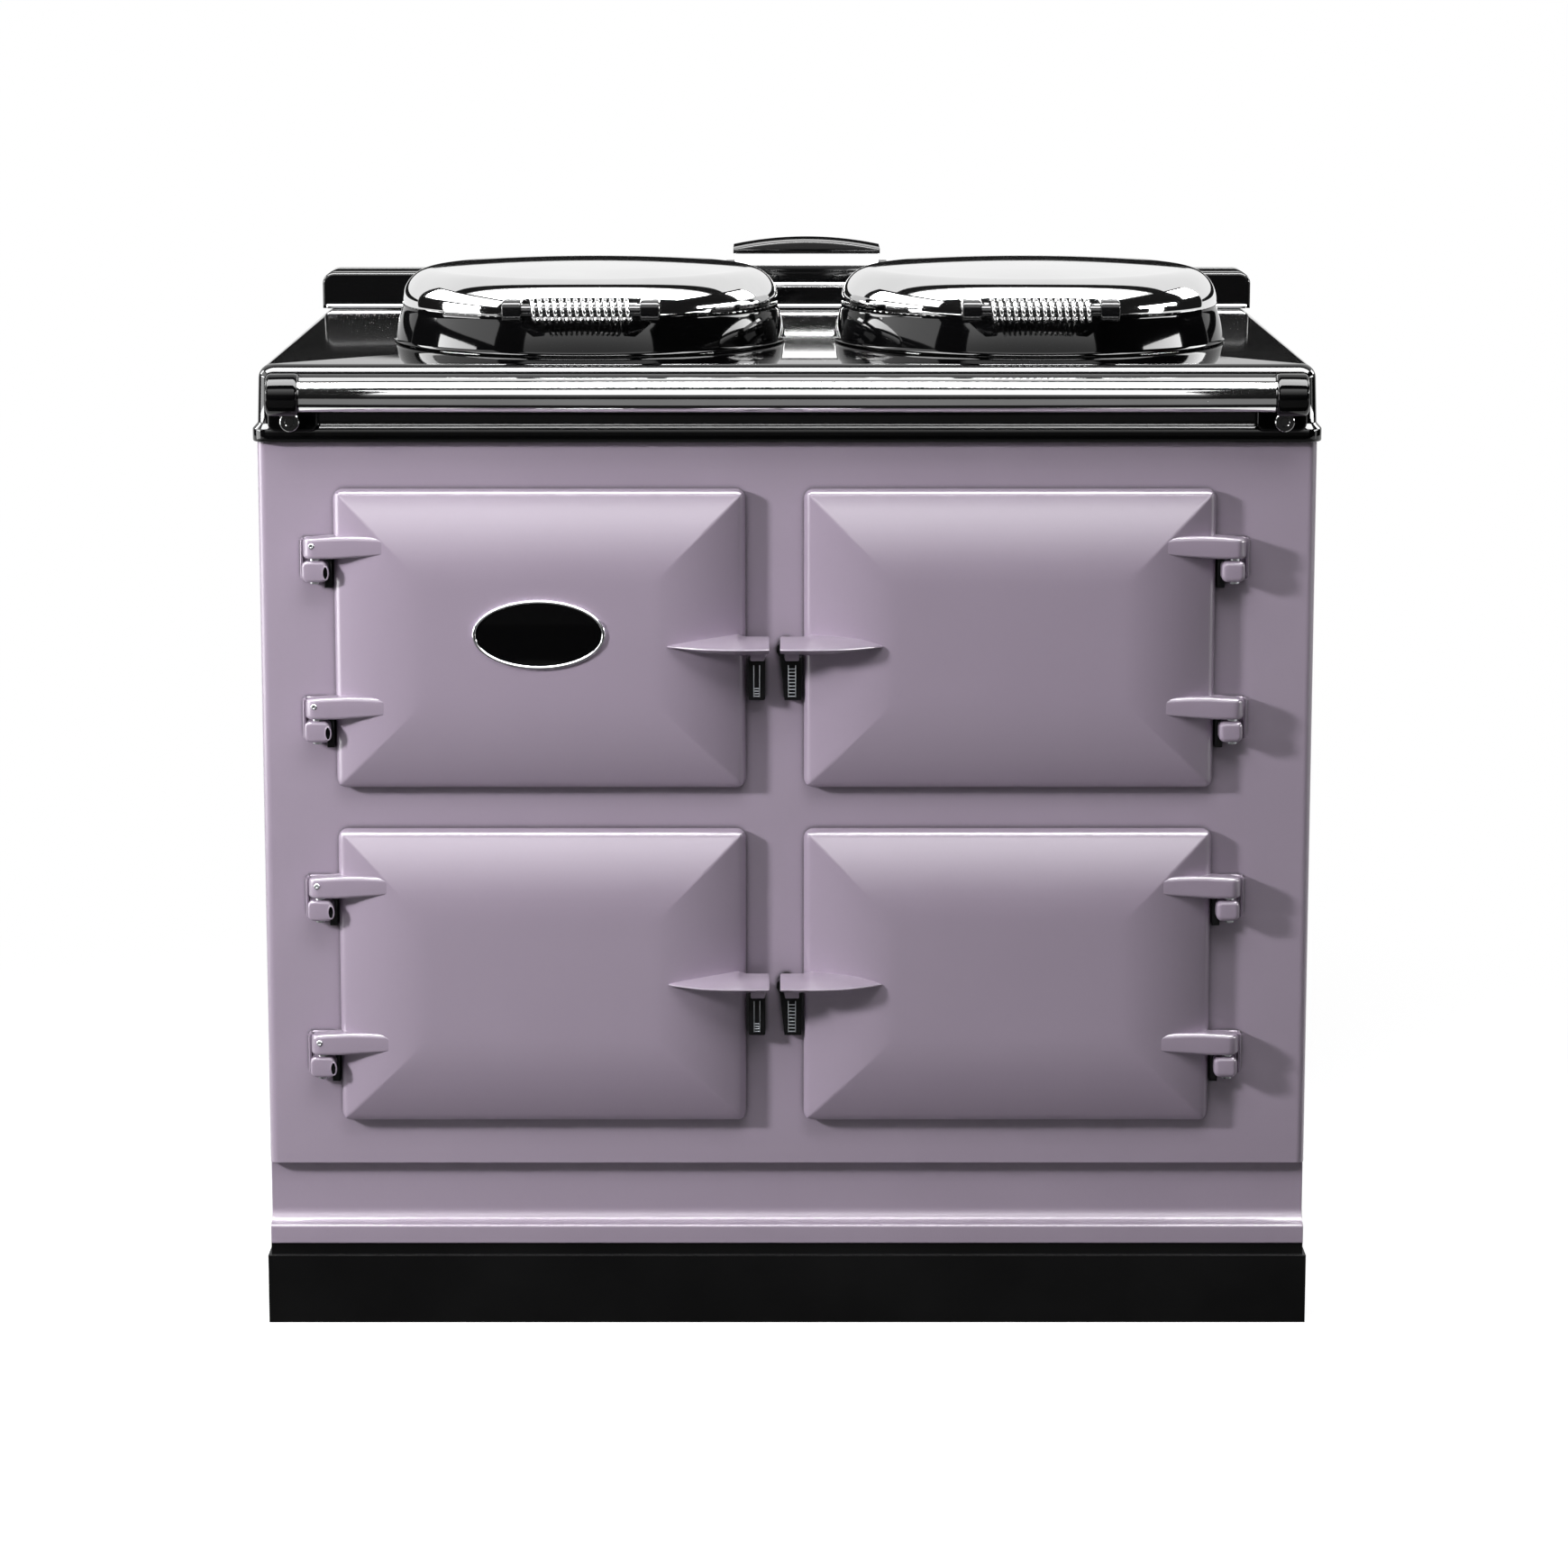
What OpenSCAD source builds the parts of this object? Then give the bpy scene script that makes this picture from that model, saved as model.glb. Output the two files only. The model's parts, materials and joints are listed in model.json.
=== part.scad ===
// Cast iron range cooker with four doors and two lidded hotplates.
// Millimetres. X runs to the right, Y to the back and Z up. The origin is on the floor,
// at the middle of the whole cooker's width and depth, so the front faces -Y.

/* [Hob] */
// Width of the hob over the lip of its apron
hob_w = 988; // [940:1:1050]
// Depth of the hob from its front lip to its rear edge
hob_d = 698; // [660:1:740]
// Height of the hob surface above the floor
hob_h = 914; // [900:1:940]
// Height of the apron round the hob
apron_h = 71; // [60:1:80]
// Thickness of the hob casting
hob_t = 8; // [6:0.5:10]
// Radius of the bullnose round the hob
nose_r = 13; // [8:0.5:18]
// How far the apron flares out down to its lip
apron_flare = 6; // [2:0.5:8]
// Height of the straight lip at the foot of the apron
lip_h = 14; // [8:1:20]
// How far the hob overhangs the front plate at its lip
lip_over = 10; // [8:0.5:14]
// Radius of the hob's corners seen from above
hob_corner_r = 16; // [8:1:24]

/* [Body] */
// Width of the body over its front plate
body_w = 980; // [970:1:986]
// Thickness of the cast front plate
plate_t = 12; // [8:0.5:16]
// Height of the front plate's lower edge above the floor
plate_low_z = 156; // [140:1:170]
// Radius of the front plate's upright edges
plate_r = 8; // [3:0.5:11]
// Thickness of the side and back panels
panel_t = 3; // [1.5:0.5:5]
// How far the body stops short of the hob's rear edge
body_back_gap = 18; // [14:1:40]
// Height of the plinth
plinth_h = 78; // [60:1:90]
// How far the plinth stands out from the body at the front and sides
plinth_out = 3; // [1:0.5:4]
// Wall of the plinth
plinth_t = 8; // [4:0.5:12]
// Height of the proud foot strip of the lower front panel
foot_strip_h = 18; // [12:1:24]

/* [Ovens] */
// How far a door laps over its oven's mouth at each side
door_lap_w = 22.5; // [18:0.5:30]
// How far a door laps over its oven's mouth above and below
door_lap_h = 20; // [18:0.5:30]
// Depth of an oven behind the front plate
oven_d = 480; // [380:1:520]
// Wall of an oven casting
oven_wall = 6; // [4:0.5:8]
// Width of the flange that bolts an oven to the front plate
oven_flange = 12; // [8:1:16]
// Height of the shelf above the floor of its oven
shelf_lift = 92; // [60:1:140]

/* [Doors] */
// Width of a door
door_w = 381; // [365:1:385]
// Height of a door
door_h = 280; // [265:1:285]
// Distance from the body's left side to the left doors
door_margin = 70.5; // [66:0.5:76]
// Gap between the left and the right doors
door_gap = 54; // [50:1:60]
// Height of the lower doors above the floor
door_low_z = 200.5; // [190:0.5:205]
// Gap between the lower and the upper doors
door_row_gap = 39.5; // [36:0.5:60]
// Gap between a closed door and the front plate, which the seal fills
door_stand = 4; // [3:0.5:6]
// Thickness of a door at its rim
door_rim = 9.5; // [8:0.5:12]
// How far the middle of a door crowns out beyond its rim
door_crown = 22; // [14:1:26]
// Distance over which the face rises from the rim to the crown
crown_run = 90; // [70:1:110]
// Radius of a door's corners
door_r = 9; // [6:0.5:16]
// Depth of the pocket in the back of a door casting
door_pocket = 14; // [6:1:18]

/* [Hinges, handles and catches] */
// Radius of a door hinge pin
pin_r = 5; // [3:0.5:6]
// Running clearance of every pin and shaft in its bore
pin_clear = 0.05; // [0.02:0.01:0.1]
// Distance of the hinge axis beyond the door's edge
pin_out = 16.5; // [15.5:0.5:20]
// Distance of the hinge axis in front of the plate
pin_stand = 20; // [18:0.5:22]
// Radius of a hinge arm's round end, half the arm's thickness
arm_r = 10.5; // [8:0.5:12]
// Height of a hinge arm
arm_h = 21; // [16:1:26]
// Height of a hinge lug below its arm
lug_h = 23; // [16:1:30]
// Width of a hinge lug
lug_w = 24; // [18:1:24]
// How far a handle reaches over its door from the door's free edge
handle_in = 72; // [50:1:90]
// How far a handle reaches beyond its door
handle_over = 22; // [20:0.5:24]
// How far a handle's ridge stands in front of the plate
handle_stand = 60; // [50:1:62]
// Height of a handle's ridge above its door's lower edge
handle_z = 137; // [100:1:170]
// Height of a catch on the front plate
catch_h = 41; // [24:1:50]
// Long axis of the oval badge on the upper left door
badge_w = 123; // [80:1:140]
// Short axis of the oval badge
badge_h = 65; // [40:1:80]

/* [Handrail] */
// Radius of the handrail tube
rail_r = 16; // [10:0.5:18]
// Distance of the rail's axis in front of the front plate
rail_stand = 48; // [44:1:56]
// Height of the rail's axis below the hob surface
rail_drop = 23; // [20:1:30]
// Distance of the middle of a rail bracket's foot from the hob's side
bracket_inset = 37; // [32:1:60]
// Width of a rail bracket's foot on the apron
bracket_w = 58; // [40:1:62]
// Width of the socket that holds the end of the rail
socket_w = 28; // [20:1:36]

/* [Hotplates and lids] */
// Radius of a hotplate
hotplate_r = 178; // [150:1:180]
// Distance of the hotplates' centres behind the front plate
hotplate_back = 258; // [240:1:270]
// Distance between the two hotplates' centres
hotplate_span = 427; // [410:1:450]
// Distance of the midpoint of the hotplates to the right of the body's middle
hotplate_shift = 22; // [0:1:26]
// How far a hotplate stands above the hob
hotplate_rise = 4; // [2:0.5:5]
// Radius of a lid's skirt at the hob
lid_r = 190.5; // [189.5:0.5:196]
// Height of a lid's black skirt
skirt_h = 34; // [28:1:40]
// How far a lid's skirt draws in from the hob up to the dome
skirt_draw = 8; // [5:0.5:10]
// Height of a lid's dome over the hob
dome_h = 77; // [70:1:90]
// Thickness of a lid's dome and skirt
lid_t = 2.5; // [1.5:0.5:4]
// Distance between the two brackets of a lid's handle, centre to centre
lid_bracket_span = 128; // [100:1:160]
// Radius of the wire coil round a lid's handle, at the middle of the wire
coil_r = 10; // [9:0.5:12]
// Radius of the coil's wire
wire_r = 2; // [1:0.25:2.5]
// Number of curls in a lid's handle coil
coil_turns = 14; // [8:1:16]
// Distance of the lid handle's axis behind the front plate
lid_handle_back = 42; // [38:1:46]
// Height of the lid handle's axis over the hob
lid_handle_z = 46; // [42:1:50]
// Distance of a lid's hinge axis behind the rim of its skirt
lid_hinge_back = 26; // [22:1:34]
// Height of a lid's hinge axis over the hob
lid_hinge_z = 30; // [26:1:36]

/* [Upstand and vent] */
// Height of the rear upstand over the hob
upstand_h = 38; // [30:1:50]
// Distance of the upstand's face behind the front plate
upstand_back = 612; // [600:1:630]
// Width of the vent cowl under its cap
cowl_w = 152; // [120:1:180]
// Height of the vent cowl's cap over the hob
cowl_h = 71; // [62:1:90]
// Distance of the vent cowl to the right of the body's middle
cowl_shift = 21; // [0:1:40]

/* [Controls and cable] */
// Radius of a control knob
knob_r = 20; // [14:1:26]
// Distance between the control knobs
knob_pitch = 92; // [70:1:100]
// Radius of the mains cable inlet's bore
gland_r = 8; // [5:0.5:10]

/* [Hidden] */
$fn = 48;

// Colours
enamel = [0.64, 0.59, 0.66];
gloss_black = [0.05, 0.05, 0.06];
chrome = [0.85, 0.86, 0.88];
iron = [0.25, 0.25, 0.26];
steel = [0.6, 0.6, 0.62];

// Small fixed clearances
seat_gap = 0.3;
shade = 1;
cut = 1;

// How far the lower front panel laps up behind the front plate
base_lap = 6;

// Front, back and top faces of the main castings
socket_r = rail_r + 3.5;
front_y = -(rail_stand + socket_r + hob_d - lip_over) / 2 + rail_stand + socket_r;
hob_front_y = front_y - lip_over;
hob_back_y = hob_front_y + hob_d;
body_back_y = hob_back_y - body_back_gap;
apron_z = hob_h - apron_h;
plate_back_y = front_y + plate_t;
under_hob_z = hob_h - hob_t;
panel_x = body_w / 2 - panel_t;
base_top_z = plate_low_z + base_lap;

// Doors: each is [column, row]. Column 0 is hinged at the left, and row 0 is the lower one
UL = [0, 1];
UR = [1, 1];
LL = [0, 0];
LR = [1, 0];
DOORS = [UL, UR, LL, LR];
OVEN_DOORS = [UR, LL, LR];
door_left_x = -body_w / 2 + door_margin;
arm_zs = [76, 226];
oven_x0 = door_lap_w;
oven_z0 = door_lap_h;
oven_w = door_w - 2 * door_lap_w;
oven_h = door_h - 2 * door_lap_h;
mouth_r = 12;
flange_t = 6;
crown_steps = 8;
crown_rad = (pow(crown_run, 2) + pow(door_crown, 2)) / (2 * door_crown);

// Hotplates and lids
lid_centres = [hotplate_shift - hotplate_span / 2, hotplate_shift + hotplate_span / 2];
lid_y = front_y + hotplate_back;
ring_out = 4;
hob_hole_r = hotplate_r + ring_out;
lid_hinge_y = lid_y + lid_r + lid_hinge_back;
knuckle_r = 11;
knuckle_w = 52;

function door_z(d) = door_low_z + d[1] * (door_h + door_row_gap);
function door_x(d) = d[0] == 0 ? door_left_x : door_left_x + 2 * door_w + door_gap;
function liner_in(d) = d == UL ? 5 : plate_t + 10;

// ---------- shared shapes ----------

// Children drawn in the XZ plane and extruded backwards from y0
module from_front(y0, depth) {
  translate([0, y0 + depth, 0])
    rotate([90, 0, 0])
      linear_extrude(depth)
        children();
}

// Children drawn in the YZ plane and extruded to the right from x0
module from_left(x0, length) {
  translate([x0, 0, 0])
    rotate([90, 0, 90])
      linear_extrude(length)
        children();
}

// A rectangle with round corners, its lower left corner at [x, y]
module round_rect(x, y, w, h, r) {
  translate([x + r, y]) square([w - 2 * r, h]);
  translate([x, y + r]) square([w, h - 2 * r]);
  for (cx = [x + r, x + w - r], cy = [y + r, y + h - r])
    translate([cx, cy]) circle(r);
}

// A door's own frame: X from its hinged edge to its free edge, Y from the front plate's
// face backwards and Z from its lower edge up
module at_door(d) {
  translate([door_x(d), front_y, door_z(d)])
    if (d[0] == 0) children();
    else mirror([1, 0, 0]) children();
}

// An oven's mouth in the door's own frame, grown by g all round
module mouth(g) {
  round_rect(oven_x0 - g, oven_z0 - g, oven_w + 2 * g, oven_h + 2 * g, mouth_r + g);
}

// Outside of a box behind a mouth: its walls and the flange behind the front plate
module box_outside(depth) {
  from_front(plate_t, depth + oven_wall) mouth(oven_wall);
  from_front(plate_t, flange_t) mouth(oven_flange);
}

// Plan of a box with its two front upright corners rounded, for the front plate
module plate_plan() {
  difference() {
    translate([-body_w / 2, 0]) square([body_w, plate_t]);
    for (s = [-1, 1])
      difference() {
        translate([s * (body_w / 2 - plate_r / 2 + cut / 2), plate_r / 2 - cut / 2])
          square([plate_r + cut, plate_r + cut], center = true);
        translate([s * (body_w / 2 - plate_r), plate_r]) circle(plate_r);
      }
  }
}

// ---------- plinth and body panels ----------

module plinth() {
  color(gloss_black) {
    w = body_w + 2 * plinth_out;
    y0 = front_y - plinth_out;
    d = body_back_y - y0;
    step = 12;
    difference() {
      union() {
        translate([-w / 2, y0, 0]) cube([w, d, plinth_h - step]);
        translate([-w / 2 + plinth_out, y0 + plinth_out, plinth_h - step - cut])
          cube([w - 2 * plinth_out, d - plinth_out, step + cut]);
      }
      translate([-w / 2 + plinth_t, y0 + plinth_t, plinth_t])
        cube([w - 2 * plinth_t, d - 2 * plinth_t, plinth_h]);
    }
  }
}

deck_t = 5;

module base_deck() {
  color(iron)
    translate([-panel_x + shade, front_y + 2 * plate_t, plinth_h])
      cube([2 * (panel_x - shade), body_back_y - front_y - 2 * plate_t, deck_t]);
}

module base_panel() {
  // Proud foot strip, hollow cove and a face set back behind the front plate
  cove_r = plate_t + plinth_out - shade;
  color(enamel)
    from_left(-body_w / 2, body_w)
      translate([front_y, plinth_h])
        difference() {
          translate([-plinth_out + shade, 0])
            square([2 * plate_t + plinth_out - shade, base_top_z - plinth_h]);
          translate([plate_t - cove_r, foot_strip_h + cove_r]) circle(cove_r);
          translate([plate_t - 2 * cove_r, foot_strip_h + cove_r])
            square([2 * cove_r, plate_low_z]);
        }
}

module front_plate() {
  color(enamel)
    difference() {
      translate([0, front_y, plate_low_z]) linear_extrude(apron_z - plate_low_z) plate_plan();
      for (d = DOORS)
        at_door(d)
          from_front(-cut, plate_t + 2 * cut) mouth(0);
    }
}

module side_panels() {
  // Set in by a shadow gap from the front plate, and notched for the lower front panel
  color(enamel)
    for (s = [0, 1])
      mirror([s, 0, 0])
        difference() {
          translate([panel_x - shade, plate_back_y + shade, plinth_h])
            cube([panel_t, body_back_y - plate_back_y - shade, apron_z - plinth_h]);
          translate([panel_x - shade - cut, plate_back_y, plinth_h - cut])
            cube([panel_t + 2 * cut, plate_t, base_top_z - plinth_h + cut]);
        }
}

module back_panel() {
  slot_r = 5;
  slot_pitch = 30;
  slots_each_way = floor((body_w / 2 - 190) / slot_pitch);
  color(steel)
    difference() {
      translate([-panel_x + shade, body_back_y - panel_t, plinth_h + deck_t])
        cube([2 * (panel_x - shade), panel_t, apron_z - plinth_h - deck_t]);
      translate([gland_x, body_back_y, gland_z])
        rotate([90, 0, 0]) cylinder(r = gland_r + gland_wall, h = 4 * panel_t, center = true);
      // Two rows of round cooling holes under the hob
      for (k = [-slots_each_way:slots_each_way], row = [1, 2])
        translate([k * slot_pitch, body_back_y - panel_t - cut, apron_z - row * slot_pitch])
          rotate([-90, 0, 0]) cylinder(r = slot_r, h = panel_t + 2 * cut);
    }
}

module insulation() {
  // Mineral wool that fills the body round the ovens and the control box
  wool_y = front_y + 2 * plate_t + shade;
  half = min(panel_x - shade, hob_w / 2 - apron_flare - hob_t) - shade;
  wool_top_z = hob_h + ledge_z - 14;
  color([0.78, 0.76, 0.68])
    difference() {
      translate([-half, wool_y, plinth_h + deck_t])
        cube([2 * half, body_back_y - panel_t - shade - wool_y, wool_top_z - plinth_h - deck_t]);
      translate([gland_x, body_back_y, gland_z])
        rotate([90, 0, 0]) cylinder(r = gland_r + gland_wall + shade, h = gland_in + shade);
      for (d = DOORS)
        at_door(d)
          translate([oven_x0 - oven_wall - 0.5, 0, oven_z0 - oven_wall - 0.5])
            cube([
              oven_w + 2 * oven_wall + 1,
              plate_t + (d == UL ? box_d : oven_d) + oven_wall + 0.5,
              oven_h + 2 * oven_wall + 1
            ]);
    }
}

// ---------- hob, upstand and vent ----------

// Cross-section of the hob's edge, its lip at the origin and the hob reaching inwards
module edge_section(reach) {
  difference() {
    polygon([
      [0, 0], [0, lip_h], [apron_flare, apron_h - nose_r], [apron_flare, apron_h],
      [reach, apron_h], [reach, 0]
    ]);
    difference() {
      translate([apron_flare - cut, apron_h - nose_r]) square([nose_r + cut, nose_r + cut]);
      translate([apron_flare + nose_r, apron_h - nose_r]) circle(nose_r);
    }
  }
}

module hob_block() {
  intersection() {
    from_left(-hob_w / 2 - cut, hob_w + 2 * cut)
      translate([hob_front_y, apron_z]) edge_section(hob_d);
    from_front(hob_front_y - cut, hob_d + 2 * cut)
      for (s = [0, 1])
        mirror([s, 0])
          translate([-hob_w / 2, apron_z]) edge_section(hob_w / 2);
    // Corners seen from above
    translate([0, 0, apron_z - cut])
      linear_extrude(apron_h + 2 * cut)
        round_rect(-hob_w / 2, hob_front_y, hob_w, hob_d, hob_corner_r);
  }
}

module top_plate() {
  wall = apron_flare + hob_t;
  color(gloss_black)
    difference() {
      hob_block();
      translate([-hob_w / 2 + wall, hob_front_y + wall, apron_z - cut])
        cube([hob_w - 2 * wall, hob_d - wall - hob_t, apron_h - hob_t + cut]);
      for (x = lid_centres)
        translate([x, lid_y, under_hob_z - cut]) cylinder(r = hob_hole_r, h = hob_t + 2 * cut, $fn = 120);
    }
}

module upstand_solid() {
  // Rounded at its ends, and along the top of its face
  w = hob_w - 2 * apron_flare;
  r = 12;
  nose = 6;
  y0 = front_y + upstand_back;
  intersection() {
    from_front(y0, hob_back_y - y0)
      difference() {
        round_rect(-w / 2, hob_h - r, w, upstand_h + r, r);
        translate([-w, hob_h - 2 * r]) square([2 * w, 2 * r]);
      }
    from_left(-w, 2 * w)
      difference() {
        translate([y0, hob_h]) square([hob_back_y - y0, upstand_h]);
        difference() {
          translate([y0 - cut, hob_h + upstand_h - nose]) square([nose + cut, nose + cut]);
          translate([y0 + nose, hob_h + upstand_h - nose]) circle(nose);
        }
      }
  }
}

module rear_upstand() {
  wall = 5;
  w = hob_w - 2 * apron_flare;
  color(gloss_black)
    difference() {
      upstand_solid();
      translate([-w / 2 + wall, front_y + upstand_back + wall, hob_h - cut])
        cube([w - 2 * wall, hob_back_y - front_y - upstand_back - 2 * wall, upstand_h - wall + cut]);
    }
}

bead_r = 2.5;

module upstand_bead() {
  // Bright bead along the foot of the upstand
  w = hob_w - 2 * apron_flare - 8;
  color(chrome)
    difference() {
      translate([-w / 2, front_y + upstand_back, hob_h])
        rotate([0, 90, 0]) cylinder(r = bead_r, h = w);
      translate([-w, front_y + upstand_back, hob_h - 2 * bead_r]) cube([2 * w, 2 * bead_r, 4 * bead_r]);
      translate([-w, front_y + upstand_back - 2 * bead_r, hob_h - 2 * bead_r])
        cube([2 * w, 4 * bead_r, 2 * bead_r]);
    }
}

// Vent cowl: heights over the hob, and how far its foot laps down the upstand's face
cowl_lap_z = 22;
cowl_band_z = 46;
cowl_cap_t = 13;
cowl_lap = 3;
cowl_splay = 0.75;
cowl_y = front_y + upstand_back - cowl_lap;
cowl_depth = hob_back_y - 6 - cowl_y;

module cowl_block(z0, z1, inset = 0) {
  top = cowl_h - cowl_cap_t;
  half0 = cowl_w / 2 + (top - z0) * cowl_splay - inset;
  half1 = cowl_w / 2 + (top - z1) * cowl_splay - inset;
  from_front(cowl_y + inset, cowl_depth - 2 * inset)
    translate([cowl_shift, hob_h])
      polygon([[-half0, z0], [half0, z0], [half1, z1], [-half1, z1]]);
}

module vent_cowl() {
  color(gloss_black)
    difference() {
      union() {
        cowl_block(cowl_lap_z, cowl_band_z);
        // Bead across the lap
        half = cowl_w / 2 + (cowl_h - cowl_cap_t - cowl_lap_z) * cowl_splay;
        translate([cowl_shift - half, cowl_y + 1, hob_h + cowl_lap_z + 3])
          rotate([0, 90, 0]) cylinder(r = 3, h = 2 * half);
      }
      translate([-hob_w / 2, front_y + upstand_back, hob_h - cut])
        cube([hob_w, hob_d, upstand_h + cut]);
      cowl_block(upstand_h - cut, cowl_band_z + cut, 4);
    }
}

module vent_outlet() {
  // Louvred band under the cap, open to the back
  top = cowl_h - cowl_cap_t;
  color(chrome)
    difference() {
      cowl_block(cowl_band_z, top, 2);
      cowl_block(cowl_band_z - cut, top + cut, 6);
      for (x = [-60:12:60])
        translate([cowl_shift + x - 3, cowl_y + cowl_depth / 2, hob_h + cowl_band_z + 2])
          cube([6, cowl_depth, top - cowl_band_z - 4]);
    }
}

module vent_cap() {
  // Cap with a flat arched top
  top = cowl_h - cowl_cap_t;
  half = cowl_w / 2 + 1;
  side = 5;
  rise = cowl_cap_t - side;
  arch_r = (pow(half, 2) + pow(rise, 2)) / (2 * rise);
  color(gloss_black)
    from_front(cowl_y - 1, cowl_depth + 2)
      translate([cowl_shift, hob_h + top])
        intersection() {
          translate([-half, 0]) square([2 * half, cowl_cap_t]);
          translate([0, cowl_cap_t - arch_r]) circle(arch_r, $fn = 400);
        }
}

// ---------- hotplates ----------

ledge_z = -18;

module hotplate_rings() {
  // Lip on the hob, wall down through its hole and a ledge that carries the hotplate
  color(chrome)
    for (x = lid_centres)
      translate([x, lid_y, hob_h])
        rotate_extrude($fn = 120)
          polygon([
            [hotplate_r + 0.4, 2], [hob_hole_r + 3.5, 2], [hob_hole_r + 3.5, 0], [hob_hole_r, 0],
            [hob_hole_r, ledge_z - 4], [hotplate_r - 8, ledge_z - 4], [hotplate_r - 8, ledge_z],
            [hotplate_r + 0.4, ledge_z]
          ]);
}

module hotplates() {
  edge = 2;
  color(iron)
    for (x = lid_centres)
      translate([x, lid_y, hob_h])
        rotate_extrude($fn = 120)
          polygon([
            [0, ledge_z], [hotplate_r, ledge_z], [hotplate_r, hotplate_rise - edge],
            [hotplate_r - edge, hotplate_rise], [0, hotplate_rise]
          ]);
}

// ---------- lids, each in a frame at its centre on the hob ----------

module at_lid(i) {
  translate([lid_centres[i], lid_y, hob_h]) children();
}

dome_foot_z = skirt_h + 2;
dome_r = lid_r - skirt_draw;
shoulder_w = 32;
shoulder_h = dome_h - 6 - dome_foot_z - 4;
crown_drop = 6;
skirt_foot_z = 0.4;

// Outer outline of the dome from its foot to its middle, drawn in by t
function dome_outline(t) = concat(
  [[dome_r - t, dome_foot_z]],
  [for (a = [0:15:90]) [
    dome_r - shoulder_w + (shoulder_w - t) * cos(a),
    dome_h - crown_drop - shoulder_h + (shoulder_h - t) * sin(a)
  ]],
  [for (k = [4:-1:0]) let (r = (dome_r - shoulder_w) * k / 5) [
    r, dome_h - t - crown_drop * pow(r / (dome_r - shoulder_w), 2)
  ]]
);

module lid_dome(i) {
  outer = dome_outline(0);
  inner = dome_outline(lid_t);
  color(chrome)
    at_lid(i)
      rotate_extrude($fn = 120)
        polygon(concat(outer, [for (k = [len(inner) - 1:-1:0]) inner[k]]));
}

// Radius of the skirt's outside at height z
function skirt_rad(z) = lid_r - skirt_draw * z / skirt_h;

module lid_skirt(i) {
  top_r = skirt_rad(skirt_h);
  hinge_y = lid_hinge_y - lid_y;
  color(gloss_black)
    at_lid(i) {
      difference() {
        union() {
          rotate_extrude($fn = 120)
            polygon([
              [lid_r, skirt_foot_z], [top_r, skirt_h], [top_r, dome_foot_z],
              [top_r - 12, dome_foot_z], [top_r - 12, skirt_h - 2],
              [top_r - lid_t - 1, skirt_h - 2], [lid_r - lid_t - 1, skirt_foot_z]
            ]);
          // Hinge leaf from the skirt back to its knuckle
          translate([-knuckle_w / 2, skirt_rad(24) - lid_t - 1, 21])
            cube([knuckle_w, hinge_y - skirt_rad(24) + lid_t + 1, 9]);
          translate([-knuckle_w / 2, hinge_y, lid_hinge_z])
            rotate([0, 90, 0]) cylinder(r = knuckle_r, h = knuckle_w);
        }
        translate([-knuckle_w / 2 - cut, hinge_y, lid_hinge_z])
          rotate([0, 90, 0]) cylinder(r = pin_r + pin_clear, h = knuckle_w + 2 * cut);
      }
    }
}

module lid_liner(i) {
  // Polished tray that closes the lid's underside
  z0 = hotplate_rise + 4;
  z1 = z0 + 3;
  rim_z = z1 + 8;
  rim_t = 3;
  gap = lid_t + 1 + seat_gap;
  color(steel)
    at_lid(i)
      rotate_extrude($fn = 120)
        polygon([
          [0, z0], [skirt_rad(z0) - gap, z0], [skirt_rad(rim_z) - gap, rim_z],
          [skirt_rad(rim_z) - gap - rim_t, rim_z], [skirt_rad(z1) - gap - rim_t, z1], [0, z1]
        ]);
}

bracket_t = 18;
rod_r = 6;
lid_handle_y = lid_handle_back - hotplate_back;

module lid_handle(i) {
  // Rod between two brackets that are bolted to the lid's shoulder
  pad = 9.5;
  color(gloss_black)
    at_lid(i)
      difference() {
        union() {
          for (s = [-1, 1])
            translate([s * lid_bracket_span / 2 - bracket_t / 2, 0, 0])
              rotate([90, 0, 90])
                linear_extrude(bracket_t) {
                  translate([lid_handle_y, lid_handle_z]) circle(pad);
                  translate([lid_handle_y, lid_handle_z - pad])
                    square([-lid_handle_y - lid_r + shoulder_w, 2 * pad]);
                }
          translate([-lid_bracket_span / 2, lid_handle_y, lid_handle_z])
            rotate([0, 90, 0]) cylinder(r = rod_r, h = lid_bracket_span);
        }
        // The lid's own outline, with the dome and skirt as one body of revolution
        rotate_extrude($fn = 120)
          polygon(concat(
            [[0, 0], [lid_r, 0], [lid_r, skirt_foot_z], [skirt_rad(skirt_h), skirt_h]],
            dome_outline(0)
          ));
      }
}

// The coil is one open wire: straight out of one bracket, round the rod and into the other.
// A point of its path is [x, angle, how far the wire has turned into the X direction].
coil_w = lid_bracket_span - bracket_t;
elbow_r = 2 * wire_r;
elbow_w = elbow_r + 2 * wire_r;
curl_rings = 8;
coil_run = coil_w - 2 * elbow_w;
coil_pitch = coil_run / coil_turns;
elbow_steps = 3;

// Middle of the wire after t curls, and the elbow's points at the end t, facing s
function curl_point(t) = [
  -coil_run / 2 + coil_pitch * t, coil_r * cos(360 * t), coil_r * sin(360 * t)
];
function elbow_point(t, s, a) = curl_point(t)
  + [s * elbow_r * (1 - cos(a)), 0, 0]
  + s * elbow_r * sin(a) * [0, -sin(360 * t), cos(360 * t)];
function straight_point(t, s, x) = elbow_point(t, s, 90) + [s * x, 0, 0];

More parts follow.
